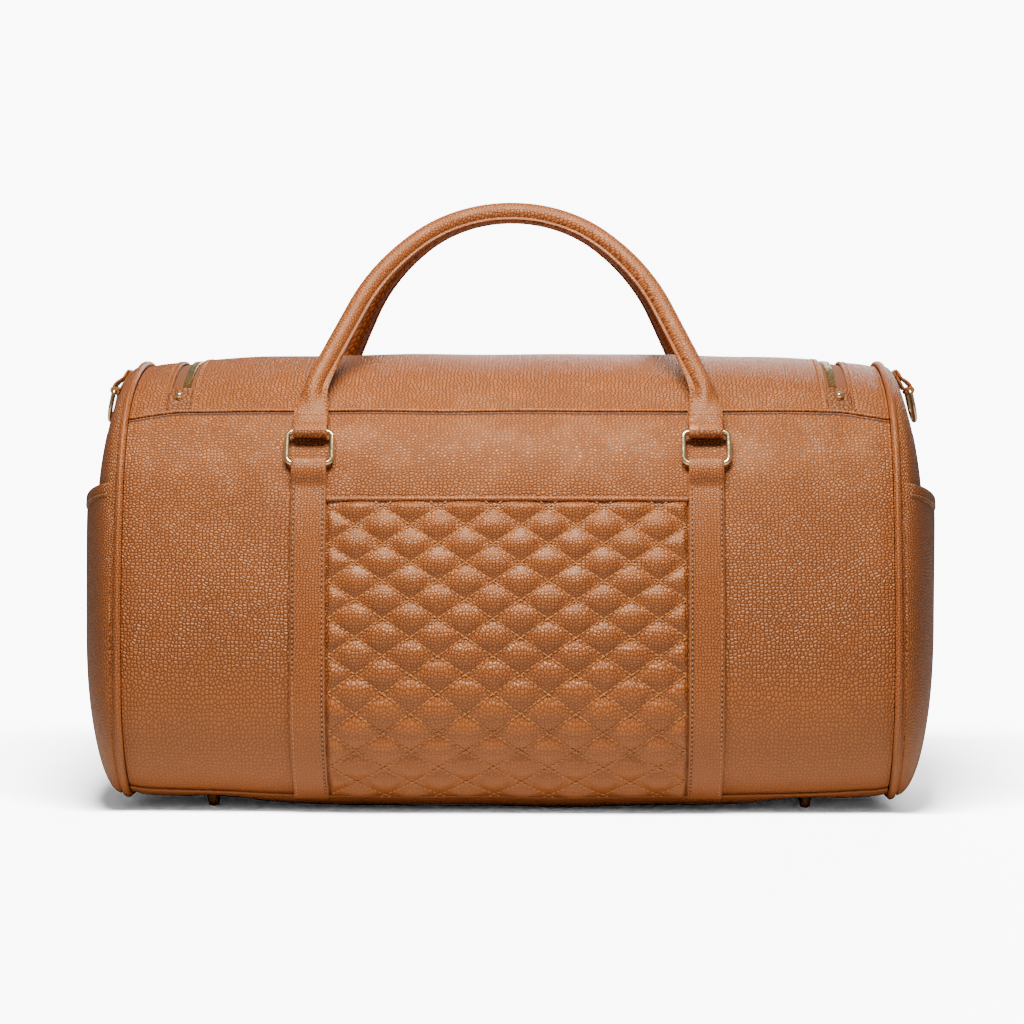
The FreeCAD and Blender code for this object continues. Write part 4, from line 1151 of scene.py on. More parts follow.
def build_pull(side, sign, pin, along, down, up):
    """A ring round the pin and a long flat tongue with a raised rim."""
    turn = full_turn(20)[:, None]
    ring_line = pin + 1.35 * (np.cos(turn) * along + np.sin(turn) * up)
    inward = unit(ring_line - pin)
    strip = np.array([(-0.45, -2.0), (0.45, -2.0), (0.45, 2.0), (-0.45, 2.0)])
    parts = [sweep(ring_line, inward, np.tile(down, (20, 1)), strip, closed=True)]
    tongue = [(1.4, -1.7), (5.0, -1.9), (7.5, -2.9), (20.5, -3.0), (22.8, -2.2), (24.0, 0.0),
              (22.8, 2.2), (20.5, 3.0), (7.5, 2.9), (5.0, 1.9), (1.4, 1.7)]
    tongue = [(sign * x, y) for x, y in tongue]
    parts.append(plate(tongue, 1.2, 0.3, pin - up * 0.6, along, down, up))
    inlay = [(sign * x, y) for x, y in ((9, -1.6), (20, -1.7), (21.6, 0), (20, 1.7), (9, 1.6), (8.2, 0))]
    parts.append(plate(inlay, 0.35, 0.15, pin + up * 0.55, along, down, up))
    add_piece(f"zip_pull_{side}_metal", merge(parts), GOLD, "hardware", f"zip_pull_{side}",
              f"zip_pull_{side}", sharp=35)


# ---- piping, ends and end pockets ----

PIPING_LOW, PIPING_HIGH = box_mm("end_piping_right")
PIPING_X = (PIPING_LOW[0] + PIPING_HIGH[0]) / 2
PIPING_RADIUS = (PIPING_HIGH[0] - PIPING_LOW[0]) / 2
END_LOW, END_HIGH = box_mm("end_panel_right")
END_START = END_LOW[0]
END_RISE = END_HIGH[0] - END_LOW[0]
END_SHRINK = (0.6, 0.8)
POCKET_RISE = box_mm("end_pocket_right")[1][0] - END_START
POCKET_SHRINK = (0.85, 0.9)
DOME_HEIGHT = 150.0
HEM_LOW, HEM_HIGH = box_mm("end_pocket_hem_right")
MOUTH_HEIGHT = HEM_HIGH[2]
HEM_HEIGHT = HEM_HIGH[2] - HEM_LOW[2]


PIPING_OUT = 0.2


def build_piping():
    s = np.linspace(-S_TOP, S_TOP, 420, endpoint=False)
    y, z, lean = outline(s)
    y, z = y - np.cos(lean) * PIPING_OUT, z + np.sin(lean) * PIPING_OUT - hang(PIPING_X, z)
    line = np.stack([np.full(len(s), PIPING_X), y, z], -1)
    for side, sign in SIDES:
        path = line * np.array([sign, 1, 1])
        along = tangents(path, closed=True)
        across = np.tile(RIGHT, (len(path), 1))
        up = unit(np.cross(across, along))
        wobble = 1 + 0.03 * np.sin(np.arange(len(s)) * 0.37)
        profile = oval_profile(PIPING_RADIUS, PIPING_RADIUS, 14)[None] * wobble[:, None, None]
        add_piece(f"end_piping_{side}_leather", sweep(path, across, up, profile, closed=True), TRIM,
                  "leather_trim", node=f"end_piping_{side}")


def rim_points(s):
    """The bag's outline at its piping, y and z."""
    y, z, _lean = outline(s)
    return y, z - hang(np.full(np.shape(z), PIPING_X), z)


def dome(turn, rise, shrink, s):
    """Points of an end's bulge: turn is 0 at its seam and 90 degrees in its middle."""
    y, z = rim_points(s)
    depth, height = (1 - share * (1 - math.cos(turn)) for share in shrink)
    x = np.full(len(s), END_START + rise * math.sin(turn))
    return np.stack([x, y * depth, DOME_HEIGHT + (z - DOME_HEIGHT) * height], -1)


def end_wave(y, z):
    return 0.8 * np.sin(z / 23 + y / 61 + 1) + 0.6 * np.sin(y / 29 - z / 37)


def build_ends():
    s = np.linspace(-S_TOP, S_TOP, 260, endpoint=False)
    turns = np.concatenate([np.linspace(0, 0.2, 6), np.linspace(0.25, 1, 18)]) * math.pi / 2
    shares = np.linspace(1, 0.02, 14)[1:]
    for side, sign in SIDES:
        layers = []
        for inset in (0.0, LEATHER_MM):
            rings = []
            for turn in turns:
                ring = dome(turn, END_RISE - inset, END_SHRINK, s)
                fullness = turn / (math.pi / 2)
                ring[:, 0] += end_wave(ring[:, 1], ring[:, 2]) * smooth_step(fullness * 2)
                ring[:, 0] -= 1.0 * bump((fullness - 0.05) / 0.05)
                ring[:, 1:] -= inset * unit(ring[:, 1:] - [0.0, DOME_HEIGHT]) * (1 - fullness)
                rings.append(ring)
            edge = rings[-1]
            for share in shares:
                ring = edge * [1.0, share, share] + [0.0, 0.0, DOME_HEIGHT * (1 - share)]
                ring[:, 0] = END_START + END_RISE - inset + end_wave(ring[:, 1], ring[:, 2])
                rings.append(ring)
            layers.append(np.array(rings) * np.array([sign, 1, 1]))
        outer, inner = layers
        rows, columns = outer.shape[:2]
        points = np.concatenate([outer.reshape(-1, 3), inner.reshape(-1, 3)])
        faces = grid_faces(rows, columns, close_columns=True)
        count = rows * columns
        every = faces.tolist() + (faces[:, ::-1] + count).tolist()
        for k in range(columns):
            n = (k + 1) % columns
            every.append([n, k, k + count, n + count])
        last = (rows - 1) * columns
        every.append([last + k for k in range(columns)])
        every.append([last + count + k for k in range(columns)][::-1])
        if sign < 0:
            every = [face[::-1] for face in every]
        piece = new_piece(f"end_panel_{side}_leather", points, every, END_LEATHER, "leather_panels")
        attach(piece, "bag")
        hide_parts(f"end_panel_{side}")


def pocket_x(y, z):
    """How far an end pocket stands out at a place, found by halving between its seam and its middle."""
    low, high = np.zeros(y.shape), np.ones(y.shape)
    for _round in range(22):
        middle = (low + high) / 2
        rim_y = y / (1 - POCKET_SHRINK[0] * middle)
        rim_z = DOME_HEIGHT + (z - DOME_HEIGHT) / (1 - POCKET_SHRINK[1] * middle)
        inside = rim_share(rim_y, rim_z) < 1
        low, high = np.where(inside, middle, low), np.where(inside, high, middle)
    full = np.sqrt(np.maximum(1 - (1 - low) ** 2, 0))
    sag = 2.0 * bump(y / 60) * bump((z - MOUTH_HEIGHT) / 26)
    return END_START + 0.3 + (POCKET_RISE - 0.3) * full + (sag + end_wave(y, z) * 0.6) * full ** 2


def rim_share(y, z):
    """How far out a place is from the middle of an end, as a share of the way to its rim."""
    here = np.arctan2(z - DOME_HEIGHT, y)
    return np.hypot(y, z - DOME_HEIGHT) / np.interp(here, RIM_ANGLES, RIM_REACH, period=2 * math.pi)


def rim_table():
    y, z = rim_points(np.linspace(-S_TOP, S_TOP, 3000))
    angle = np.arctan2(z - DOME_HEIGHT, y)
    order = np.argsort(angle)
    return angle[order], np.hypot(y, z - DOME_HEIGHT)[order]


RIM_ANGLES, RIM_REACH = rim_table()


def half_depth_at(z):
    """Half the bag's depth at a height, along its piping."""
    y, height = rim_points(np.linspace(0.5, s_at_height(250.0), 1500))
    return np.interp(z, height, -y)


MOUTH_LIFT = 12.0
POCKET_FOOT = 0.18
HEM_LIFT = 0.9


def pocket_grid(share, below_mouth):
    """A grid over an end pocket: rows are shares of the way from its foot up to a line that runs below
    its mouth, which rises from its middle to the piping."""
    columns = np.sin(np.linspace(-math.pi / 2, math.pi / 2, 121))
    foot = FLOOR_GAP + 0.8
    mouth = MOUTH_HEIGHT + MOUTH_LIFT * np.abs(columns) ** 2.2
    z = foot + (mouth - below_mouth - foot)[None, :] * share[:, None]
    y = columns[None, :] * (half_depth_at(z) - 0.3)
    return pocket_x(y, z), y, z


def hem_lift(height):
    """How far the hem stands off the pocket's leather, at heights above its lower edge."""
    lift = HEM_LIFT - 0.6 * bump(height / 0.7) - 0.5 * bump((height - 1.8) / 0.6)
    return lift - 0.5 * bump((height - HEM_HEIGHT) / 0.6)


def build_end_pockets():
    foot_rows = POCKET_FOOT * (1 - np.cos(np.linspace(0, math.pi / 2, 18)))
    share = np.concatenate([foot_rows, np.linspace(POCKET_FOOT, 1, 60)[1:]])
    hem_heights = steps((0, 0.5), (2, 1.0), (HEM_HEIGHT - 1, 0.5), (HEM_HEIGHT, 0))
    top = np.array([1.0])
    for side, sign in SIDES:
        turn = np.array([sign, 1, 1])
        outward = sign * RIGHT
        x, y, z = pocket_grid(share, HEM_HEIGHT - 1)
        add_piece(f"end_pocket_{side}_leather", shell(np.stack([x, y, z], -1) * turn, LEATHER_MM, outward),
                  END_LEATHER, "leather_panels", node=f"end_pocket_{side}")
        rows = [np.stack(pocket_grid(top, HEM_HEIGHT - height), -1)[0] for height in hem_heights]
        hem = np.stack(rows) + hem_lift(hem_heights)[:, None, None] * RIGHT
        add_piece(f"end_pocket_hem_{side}_leather", shell(hem * turn, LEATHER_MM + HEM_LIFT, outward, 0.5),
                  END_LEATHER, "leather_trim", node=f"end_pocket_hem_{side}")
        line = np.stack(pocket_grid(top, HEM_HEIGHT - 1.8), -1)[0] + np.array([0.6, 0.0, 0.0])
        add_piece(f"end_pocket_stitches_{side}", thread((line * turn)[4:-4], outward, *POCKET_STITCH),
                  TAN_THREAD, "leather_trim")


# ---- straps, rings and handles ----

STRAP_WIDTH = float(np.diff([box_mm("front_strap_right")[i][0] for i in (0, 1)])[0])
WIRE = 1.65
UNDER_MM = 1.1
OVER_MM = 1.7
LOOP_SEAM = 11.5


def smooth_line(points, count):
    """A smooth line through the middles of a few points, as a quadratic B-spline, with its ends kept."""
    points = np.array(points, float)
    for _round in range(4):
        start, end = points[:-1], points[1:]
        cut = np.stack([0.75 * start + 0.25 * end, 0.25 * start + 0.75 * end], 1)
        cut = cut.reshape(-1, points.shape[1])
        points = np.concatenate([points[:1], cut[1:-1], points[-1:]])
    run = run_along(points)
    return along_line(np.linspace(0, run[-1], count), run, points)


def strip_along(path, across, width, thickness, face=1):
    """A flat strip along a line, with the direction across it."""
    across = np.tile(across, (len(path), 1))
    up = face * unit(np.cross(across, tangents(path)))
    return sweep(path, across, up, strip_profile(width, thickness))


def ribbon(route, x_middle, sign, width, thickness):
    """A strap whose middle line is (s, out) points on the bag, at x_middle, on the front or the back."""
    path = face_side(skin(np.full(len(route), x_middle), route[:, 0], route[:, 1]), sign)
    return strip_along(path, RIGHT, width, thickness, sign)


def paint_edges(piece):
    """Gives the faces along a strip's two edges their own finish."""
    piece.data.materials.append(EDGE_PAINT)
    half = len(strip_profile(1, 1)) // 2
    for number, polygon in enumerate(piece.data.polygons):
        on_edge = number % half < STRIP_SIDE - 1
        if len(polygon.vertices) == 4 and on_edge:
            polygon.material_index = 1


def strap_routes():
    """Lines of (s, out): the under layer, and the over layer that folds round the ring's lower bar."""
    low = S_LOW + 0.6
    under = np.array([(s, UNDER_MM / 2 + 0.1) for s in steps((low, 3.0), (S_BAR - 9, 0))])
    level = UNDER_MM + OVER_MM / 2 + 0.1
    reach = WIRE + OVER_MM / 2 + 0.15
    front = [(s, level) for s in steps((low, 3.0), (S_BAR - 16, 0))]
    rise = smooth_line([(S_BAR - 16, level), (S_BAR - 12, level), (S_BAR - 7.5, BAR_OUT + reach - 0.9),
                        (S_BAR - 3.5, BAR_OUT + reach)], 12)[1:]
    turn = np.linspace(0, math.pi, 14)
    over = [(S_BAR + reach * math.sin(t), BAR_OUT + reach * math.cos(t)) for t in turn]
    behind = smooth_line([over[-1], (S_BAR - 4, BAR_OUT - reach), (S_BAR - 9, UNDER_MM / 2 + 0.4)], 8)[1:]
    return under, np.concatenate([front, rise, over, behind])


def build_straps():
    under, over = strap_routes()
    edge = STRAP_WIDTH / 2 - 2.1
    for face, sign in FACES:
        for side, x_sign in SIDES:
            x = x_sign * RING_X
            name = f"{face}_strap_{side}"
            piece = add_piece(f"{name}_leather", ribbon(over, x, sign, STRAP_WIDTH - 0.5, OVER_MM), TRIM,
                              "leather_trim", node=name)
            paint_edges(piece)
            add_piece(f"{name}_under", ribbon(under, x, sign, STRAP_WIDTH + 0.1, UNDER_MM), EDGE_PAINT,
                      "leather_trim")
            level = UNDER_MM + OVER_MM + 0.05
            stitch_s = steps((S_LOW + 3, 2.0), (S_BAR - LOOP_SEAM - 1.0, 0))
            threads, groove_shades = [], []
            for edge_sign in (-1, 1):
                line = face_side(skin(x + edge_sign * edge, stitch_s, level), sign)
                up = face_side(skin_normal(stitch_s, line), sign)
                threads.append(thread(line + 0.1 * up, up, *STRAP_STITCH))
                groove_shades.append(seam_groove(line, up))
            cross = np.linspace(-edge, edge, 12)
            threads.append(sewn_line(x + cross, S_BAR - LOOP_SEAM, level + 0.25, LOOP_STITCH, sign))
            add_piece(f"{name}_grooves", merge(groove_shades), SEAM_SHADE, "leather_trim")
            add_piece(f"{name}_stitches", merge(threads), TAN_THREAD, "leather_trim")


HANDLE_LEAN = math.radians(35)
HANDLE_RISE = 165.1
HANDLE_RADIUS = 5.6
GRIP_RADIUS = 84.0
GRIP_TURN = math.radians(42)
LEG_LEAN = math.radians(22)
LEG_RADIUS = 45.0
TAB_LENGTH = 24.0
TAB_HALF_WIDTH = 10.4
TAB_HALF_THICK = 2.45
FLARE_START = 11.0
FLARE_END = 33.0
TAB_FOOT = 4.2
TAB_SEAM_HALF = 8.6
LIP_HALF_THICK = 1.3
LIP_SEWN_TO = 60.0


def handle_line():
    """Right half of a handle, from its tab to the middle of the grip, as (x, height) points."""
    turn = np.linspace(0.0, LEG_LEAN, 14)
    leg = np.stack([RING_X - LEG_RADIUS * (1 - np.cos(turn)), TAB_LENGTH + LEG_RADIUS * np.sin(turn)], -1)
    bend_x, bend_h = leg[-1]
    side_turn = math.pi / 2 - LEG_LEAN
    spread = math.sin(side_turn) - math.sin(GRIP_TURN)
    drop = math.cos(GRIP_TURN) - math.cos(side_turn)
    shoulder = HANDLE_RISE - GRIP_RADIUS * (1 - math.cos(GRIP_TURN))
    need = bend_x - GRIP_RADIUS * math.sin(GRIP_TURN) - (shoulder - bend_h) * math.tan(LEG_LEAN)
    side = need / (spread - drop * math.tan(LEG_LEAN))
    turn = np.linspace(side_turn, GRIP_TURN, 22)
    start_x = GRIP_RADIUS * math.sin(GRIP_TURN)
    side_x = start_x + side * (np.sin(turn) - math.sin(GRIP_TURN))
    side_h = shoulder - side * (math.cos(GRIP_TURN) - np.cos(turn))
    grip = np.linspace(GRIP_TURN, 0, 26)
    grip_line = np.stack([GRIP_RADIUS * np.sin(grip), HANDLE_RISE - GRIP_RADIUS * (1 - np.cos(grip))], -1)
    straight = np.linspace(leg[-1], (side_x[0], side_h[0]), 14)
    foot_line = np.stack([np.full(18, RING_X), np.linspace(TAB_FOOT, TAB_LENGTH, 18)], -1)
    side_line = np.stack([side_x, side_h], -1)
    return np.concatenate([foot_line, leg[1:], straight[1:], side_line[1:], grip_line[1:]])


def handle_profiles(height):
    """The outline at each height: flat at the tab, then a roll with a sewn lip on its inner side."""
    turn = np.concatenate([np.linspace(0, 0.8, 17)[:-1], np.linspace(0.8, 1.2, 15)[:-1],
                           np.linspace(1.2, 2.0, 17)[:-1]]) * math.pi
    cos, sin = np.cos(turn), np.sin(turn)
    flat = 1 / ((np.abs(cos) / TAB_HALF_WIDTH) ** 5 + (np.abs(sin) / TAB_HALF_THICK) ** 5) ** 0.2
    lip_reach = HANDLE_RADIUS + 1.3 + 1.7 * bump((height - 30)[:, None] / 22)
    lip = np.minimum(lip_reach, 1.25 / np.maximum(np.abs(sin), 1e-3)) * (cos < 0)
    roll = np.maximum(HANDLE_RADIUS, lip)
    share = smooth_step((height - FLARE_START) / (FLARE_END - FLARE_START))[:, None]
    radius = flat * (1 - share) + roll * share
    return np.stack([radius * cos, radius * sin], -1)


def handle_axes(sign):
    """The plane of a handle: its origin at the ring's upper bar, its rise and its outward side."""
    bar = joint_place("front_handle_swing" if sign < 0 else "back_handle_swing")
    origin = np.array([0.0, bar[1], bar[2]])
    rise = np.array([0.0, -sign * math.sin(HANDLE_LEAN), math.cos(HANDLE_LEAN)])
    outward = np.array([0.0, sign * math.cos(HANDLE_LEAN), math.sin(HANDLE_LEAN)])
    return origin, rise, outward


def tab_loops(origin, rise, outward):
    """The tab's end, folded round the ring's upper bar."""
    reach = WIRE + OVER_MM / 2 + 0.2
    turn = np.linspace(0, math.pi, 16)
    under = [(-reach * math.cos(t), -reach * math.sin(t)) for t in turn]
    front = smooth_line([(-1.45, 8.0), (-1.5, 5.5), (-reach, 3.0), (-reach, 0.0)], 8)[:-1]
    back = smooth_line([(reach, 0.0), (reach, 3.0), (1.5, 5.5), (1.45, 8.0)], 8)[1:]
    route = np.concatenate([front, under, back])
    parts = []
    for x_sign in (-1, 1):
        path = origin + np.array([x_sign * RING_X, 0, 0]) + route[:, :1] * outward + route[:, 1:] * rise
        parts.append(strip_along(path, RIGHT, 2 * TAB_HALF_WIDTH - 0.3, OVER_MM))
    return merge(parts)


def build_handles():
    half = handle_line()
    line = np.concatenate([half * [-1, 1], half[-2::-1]])
    flat_tangent = unit(np.gradient(line, axis=0))
    side = np.stack([-flat_tangent[:, 1], flat_tangent[:, 0]], -1)
    profile = handle_profiles(line[:, 1])
    for face, sign in FACES:
        origin, rise, outward = handle_axes(sign)
        path = origin + line[:, :1] * RIGHT + line[:, 1:] * rise
        across = side[:, :1] * RIGHT + side[:, 1:] * rise
        up = np.tile(outward, (len(path), 1))
        add_piece(f"{face}_handle_leather", sweep(path, across, up, profile), HANDLE_LEATHER,
                  "leather_trim", f"{face}_handle", f"{face}_handle_cover")
        piece = add_piece(f"{face}_handle_loops", tab_loops(origin, rise, outward), HANDLE_LEATHER,
                          "leather_trim", f"{face}_handle")
        paint_edges(piece)
        threads = []
        cross = np.linspace(-TAB_SEAM_HALF, TAB_SEAM_HALF, 12)
        for layer in (-1, 1):
            for x_sign in (-1, 1):
                seat = origin + (x_sign * RING_X + cross)[:, None] * RIGHT
                seat = seat + FLARE_START * rise + layer * (TAB_HALF_THICK + 0.1) * outward
                threads.append(thread(seat, layer * outward, *TAB_STITCH))
        lip = np.argmin(np.abs(np.arctan2(profile[0, :, 1], profile[0, :, 0]) - math.pi))
        low = profile[:, lip, 0] + LIP_HALF_THICK
        sewn = (line[:, 1] > FLARE_START + 2) & (line[:, 1] < LIP_SEWN_TO)
        height = np.where(line[:, 1] < FLARE_END, TAB_HALF_THICK, LIP_HALF_THICK) + 0.05
        for layer in (-1, 1):
            seam = path + low[:, None] * across + layer * height[:, None] * up
            for part in (sewn & (line[:, 0] < 0), sewn & (line[:, 0] > 0)):
                threads.append(thread(seam[part], layer * outward, *LIP_STITCH))
        add_piece(f"{face}_handle_stitches", merge(threads), TAN_THREAD, "leather_trim", f"{face}_handle")


# ---- quilted pocket ----

QUILT_HALF = box_mm("quilted_pocket")[1][0]
QUILT_TOP = box_mm("quilted_pocket_hem")[1][2]
QUILT_HEM = 2.6
DIAMOND_HALF_X = 16.1
DIAMOND_HALF_S = 10.8
CROSSING_HEIGHT = 128.1
CELL_STEPS = 9
SEAM_OUT = 1.3
FOAM_OUT = 0.75
PUFF = 3.6
CLOTH_FRAMES = 14
PUFF_CAP = 1.2
CLOTH_START = 0.9
CLOTH_SETTINGS = {
    "quality": 5,
    "mass": 0.3,
    "tension_stiffness": 25,
    "compression_stiffness": 25,
    "shear_stiffness": 12,
    "bending_stiffness": 3.0,
    "vertex_group_mass": "sewn",
    "shrink_min": -0.01,
    "use_pressure": True,
    "uniform_pressure_force": 2.5,
}


def quilt_lattice():
    """A grid whose diagonals are the rows of quilting, with its count along x and s."""
    centre = s_at_height(CROSSING_HEIGHT)
    low = math.ceil((S_LOW + 1.0 - centre) / DIAMOND_HALF_S * CELL_STEPS)
    high = math.floor((s_at_height(QUILT_TOP - QUILT_HEM) - centre) / DIAMOND_HALF_S * CELL_STEPS)
    side = math.floor((QUILT_HALF / DIAMOND_HALF_X - 0.5) * CELL_STEPS)
    i = np.arange(-side - CELL_STEPS, side + 1)
    j = np.arange(low, high + 1)
    i, j = np.meshgrid(i, j)
    x = DIAMOND_HALF_X * (0.5 + i / CELL_STEPS)
    s = centre + DIAMOND_HALF_S * j / CELL_STEPS
    return i, j, x, s


def quilted_out(i, j, s):
    """Height of the padded diamonds by formula."""
    whole = 2 * CELL_STEPS
    one = np.sin(math.pi * ((i + j) % whole) / whole)
    other = np.sin(math.pi * ((i - j) % whole) / whole)
    fall = 0.72 + 0.28 * smooth_step((s - S_LOW) / 60)
    return SEAM_OUT + PUFF * fall * np.power(one * other, 0.75)


def swell_with_cloth(name, start, faces, pinned):
    """Blows the leather up against its seams with Blender's cloth, and returns where each point goes."""
    mesh = bpy.data.meshes.new(name)
    mesh.from_pydata((start * MM).tolist(), [], faces.tolist())
    piece = bpy.data.objects.new(name, mesh)
    bpy.context.scene.collection.objects.link(piece)
    group = piece.vertex_groups.new(name="sewn")
    group.add([int(v) for v in pinned], 1.0, "REPLACE")
    cloth_modifier = piece.modifiers.new("Cloth", "CLOTH")
    settings = cloth_modifier.settings
    for key, value in CLOTH_SETTINGS.items():
        setattr(settings, key, value)
    settings.effector_weights.gravity = 0.0
    cloth_modifier.collision_settings.use_collision = False
    cloth_modifier.point_cache.frame_start = 1
    cloth_modifier.point_cache.frame_end = CLOTH_FRAMES
    for number in range(1, CLOTH_FRAMES + 1):
        bpy.context.scene.frame_set(number)
    shown = piece.evaluated_get(bpy.context.evaluated_depsgraph_get()).to_mesh()
    moved = np.zeros(len(start) * 3, np.float32)
    shown.vertices.foreach_get("co", moved)
    bpy.context.scene.frame_set(1)
    bpy.data.objects.remove(piece)
    return moved.reshape(-1, 3) / MM


def build_quilted_pocket():
    i, j, x, s = quilt_lattice()
    whole = 2 * CELL_STEPS
    sewn = ((i + j) % whole == 0) | ((i - j) % whole == 0)
    border = np.zeros(sewn.shape, bool)
    border[[0, -1], :] = True
    border[:, [0, -1]] = True
    out = quilted_out(i, j, s)
    rim = np.minimum.reduce([QUILT_HALF - np.abs(x), s - s.min(), s.max() - s])
    held = smooth_step(rim / 3.0 + 0.15)
    out = SEAM_OUT - 0.2 + (out - SEAM_OUT + 0.2) * held
    points = skin(x, s, out)
    base = skin(x, s, SEAM_OUT + (out - SEAM_OUT) * CLOTH_START).reshape(-1, 3)
    faces = grid_faces(*x.shape)
    normal = skin_normal(s, points).reshape(-1, 3)
    sample = faces[len(faces) // 2]
    looks = np.cross(base[sample[1]] - base[sample[0]], base[sample[2]] - base[sample[0]])
    if np.dot(looks, normal[sample[0]]) < 0:
        faces = faces[:, ::-1]
    pinned = np.flatnonzero((sewn | border).ravel())
    blown = swell_with_cloth("quilt_cloth", base, faces, pinned) - base
    over = np.linalg.norm(blown, axis=1, keepdims=True)
    blown = blown * np.minimum(1, PUFF_CAP / np.maximum(over, 1e-6))
    points = (base + blown).reshape(points.shape)
    rise = np.einsum("ijk,ijk->ij", points - skin(x, s, SEAM_OUT - 0.3), skin_normal(s, points))
    points = points + np.maximum(-rise, 0)[..., None] * skin_normal(s, points)
    piece = new_piece("quilted_pocket_leather", *shell(points, QUILT_MM, -BACK),
                      QUILT_LEATHER, "quilted_leather", sharp=80)
    finer = piece.modifiers.new("Finer", "SUBSURF")
    finer.levels = 1
    finer.render_levels = 1
    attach(piece, "bag")
    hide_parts("quilted_pocket")
    quilting(i, j, x, s)
    quilt_hem_and_foam()


def quilting(i, j, x, s):
    """Golden thread along every diagonal of the lattice."""
    whole = 2 * CELL_STEPS
    threads = []
    for total in (i + j, i - j):
        for value in np.unique(total[total % whole == 0]):
            on = total == value
            order = np.argsort(x[on])
            if len(order) < CELL_STEPS:
                continue
            threads.append(sewn_line(x[on][order], s[on][order], SEAM_OUT + 0.6, QUILT_STITCH))
    add_piece("quilting_thread", merge(threads), GOLD_THREAD, "quilted_leather")


def quilt_hem_and_foam():
    x = both_ways(steps((0, 2.5), (QUILT_HALF, 0)))
    top = s_at_height(QUILT_TOP)
    low = s_at_height(QUILT_TOP - QUILT_HEM) - 0.6
    s = steps((low, 0.35), (top, 0))
    x, s = np.meshgrid(x, s)
    share = (s - low) / (top - low)
    out = 1.4 + 1.7 * np.sqrt(np.maximum(1 - np.square(2 * share - 1), 0)) + 0.25 * np.sin(x / 31)
    add_piece("quilted_pocket_hem_leather", shell(skin(x, s, out), HEM_MM, -BACK), TRIM, "leather_trim",
              node="quilted_pocket_hem")
    line_x = both_ways(steps((0, 2.5), (QUILT_HALF - 1, 0)))
    line = skin(line_x, low - 0.5, SEAM_OUT + 0.3)
    add_piece("pocket_hem_stitches", thread(line, skin_normal(low, line), *HEM_STITCH), DARK_THREAD,
              "leather_trim")
    foam_x = both_ways(steps((0, 6.0), (QUILT_HALF - 1.0, 0)))
    x, s = np.meshgrid(foam_x, steps((S_LOW + 2, 6.0), (low - 1, 0)))
    piece = add_piece("quilted_pocket_foam", shell(skin(x, s, FOAM_OUT), FOAM_MM, -BACK), FOAM, "padding",
                      node="quilted_pocket_padding")


# ---- D-ring loops, feet, lining and board ----


D_LEAN = 32.0
D_LOOP_MM = 1.6
D_WIRE = 1.5
D_RIVET_DOWN = 11.5


def build_d_loops():
    """A leather strip folded round each D-ring's bar, held on the end panel with a rivet."""
    rivets = []
    low, high = box_mm("d_ring_loop_right")
    width = high[1] - low[1]
    lean = math.radians(D_LEAN)
    bar = joint_place("d_ring_right_swing")
    reach = D_WIRE + D_LOOP_MM / 2 + 0.15
    up = np.array([-math.sin(lean), 0.0, math.cos(lean)])
    away = np.array([math.cos(lean), 0.0, math.sin(lean)])
    for side, sign in SIDES:
        turn = np.linspace(math.pi, 2 * math.pi, 14)
        under = [(-reach * math.cos(t), reach * math.sin(t)) for t in turn][::-1]
        front = smooth_line([(-0.6, 15.0), (-0.6, 9.0), (reach - 0.6, 5.0), (reach, 0.0)], 14)[:-1]
        back = smooth_line([(-reach, 0.0), (-reach, 5.0), (-reach, 15.0)], 8)[1:]
        route = np.concatenate([front, under, back])
        path = bar + route[:, :1] * away + route[:, 1:] * up
        path = path * np.array([sign, 1, 1])
        piece = add_piece(f"d_ring_loop_{side}_leather", strip_along(path, BACK, width, D_LOOP_MM), TRIM,
                          "leather_trim", node=f"d_ring_loop_{side}")
        paint_edges(piece)
        seat = (bar + (D_LOOP_MM / 2 - 0.6) * away + D_RIVET_DOWN * up) * np.array([sign, 1, 1])
        profile = [(3.0, -0.2), (3.0, 0.25), (2.6, 0.75), (1.6, 1.1), (0.4, 1.2), (0.02, 1.2)]
        rivets.append(lathe(profile, seat, away * np.array([sign, 1, 1])))
    add_piece("d_ring_loop_rivets", merge(rivets), GOLD, "hardware", node="d_ring_rivets")


def build_feet():
    low, high = box_mm("feet")
    profile = [(0.02, 0.0), (1.8, 0.05), (2.8, 0.5), (3.1, 1.2), (3.3, 3.0), (3.7, 5.6), (4.0, 6.6),
               (5.6, 7.0), (5.8, 7.6), (5.8, 8.7), (1.2, 8.8), (1.2, high[2])]
    parts = []
    for x in (low[0] + FOOT_RADIUS, high[0] - FOOT_RADIUS):
        for y in (low[1] + FOOT_RADIUS, high[1] - FOOT_RADIUS):
            parts.append(lathe(profile, np.array([x, y, low[2]]), [0.0, 0.0, 1.0], 28))
    add_piece("brass_feet", merge(parts), ANTIQUE, "hardware", node="feet")


LINING_MIDDLE = 110.0


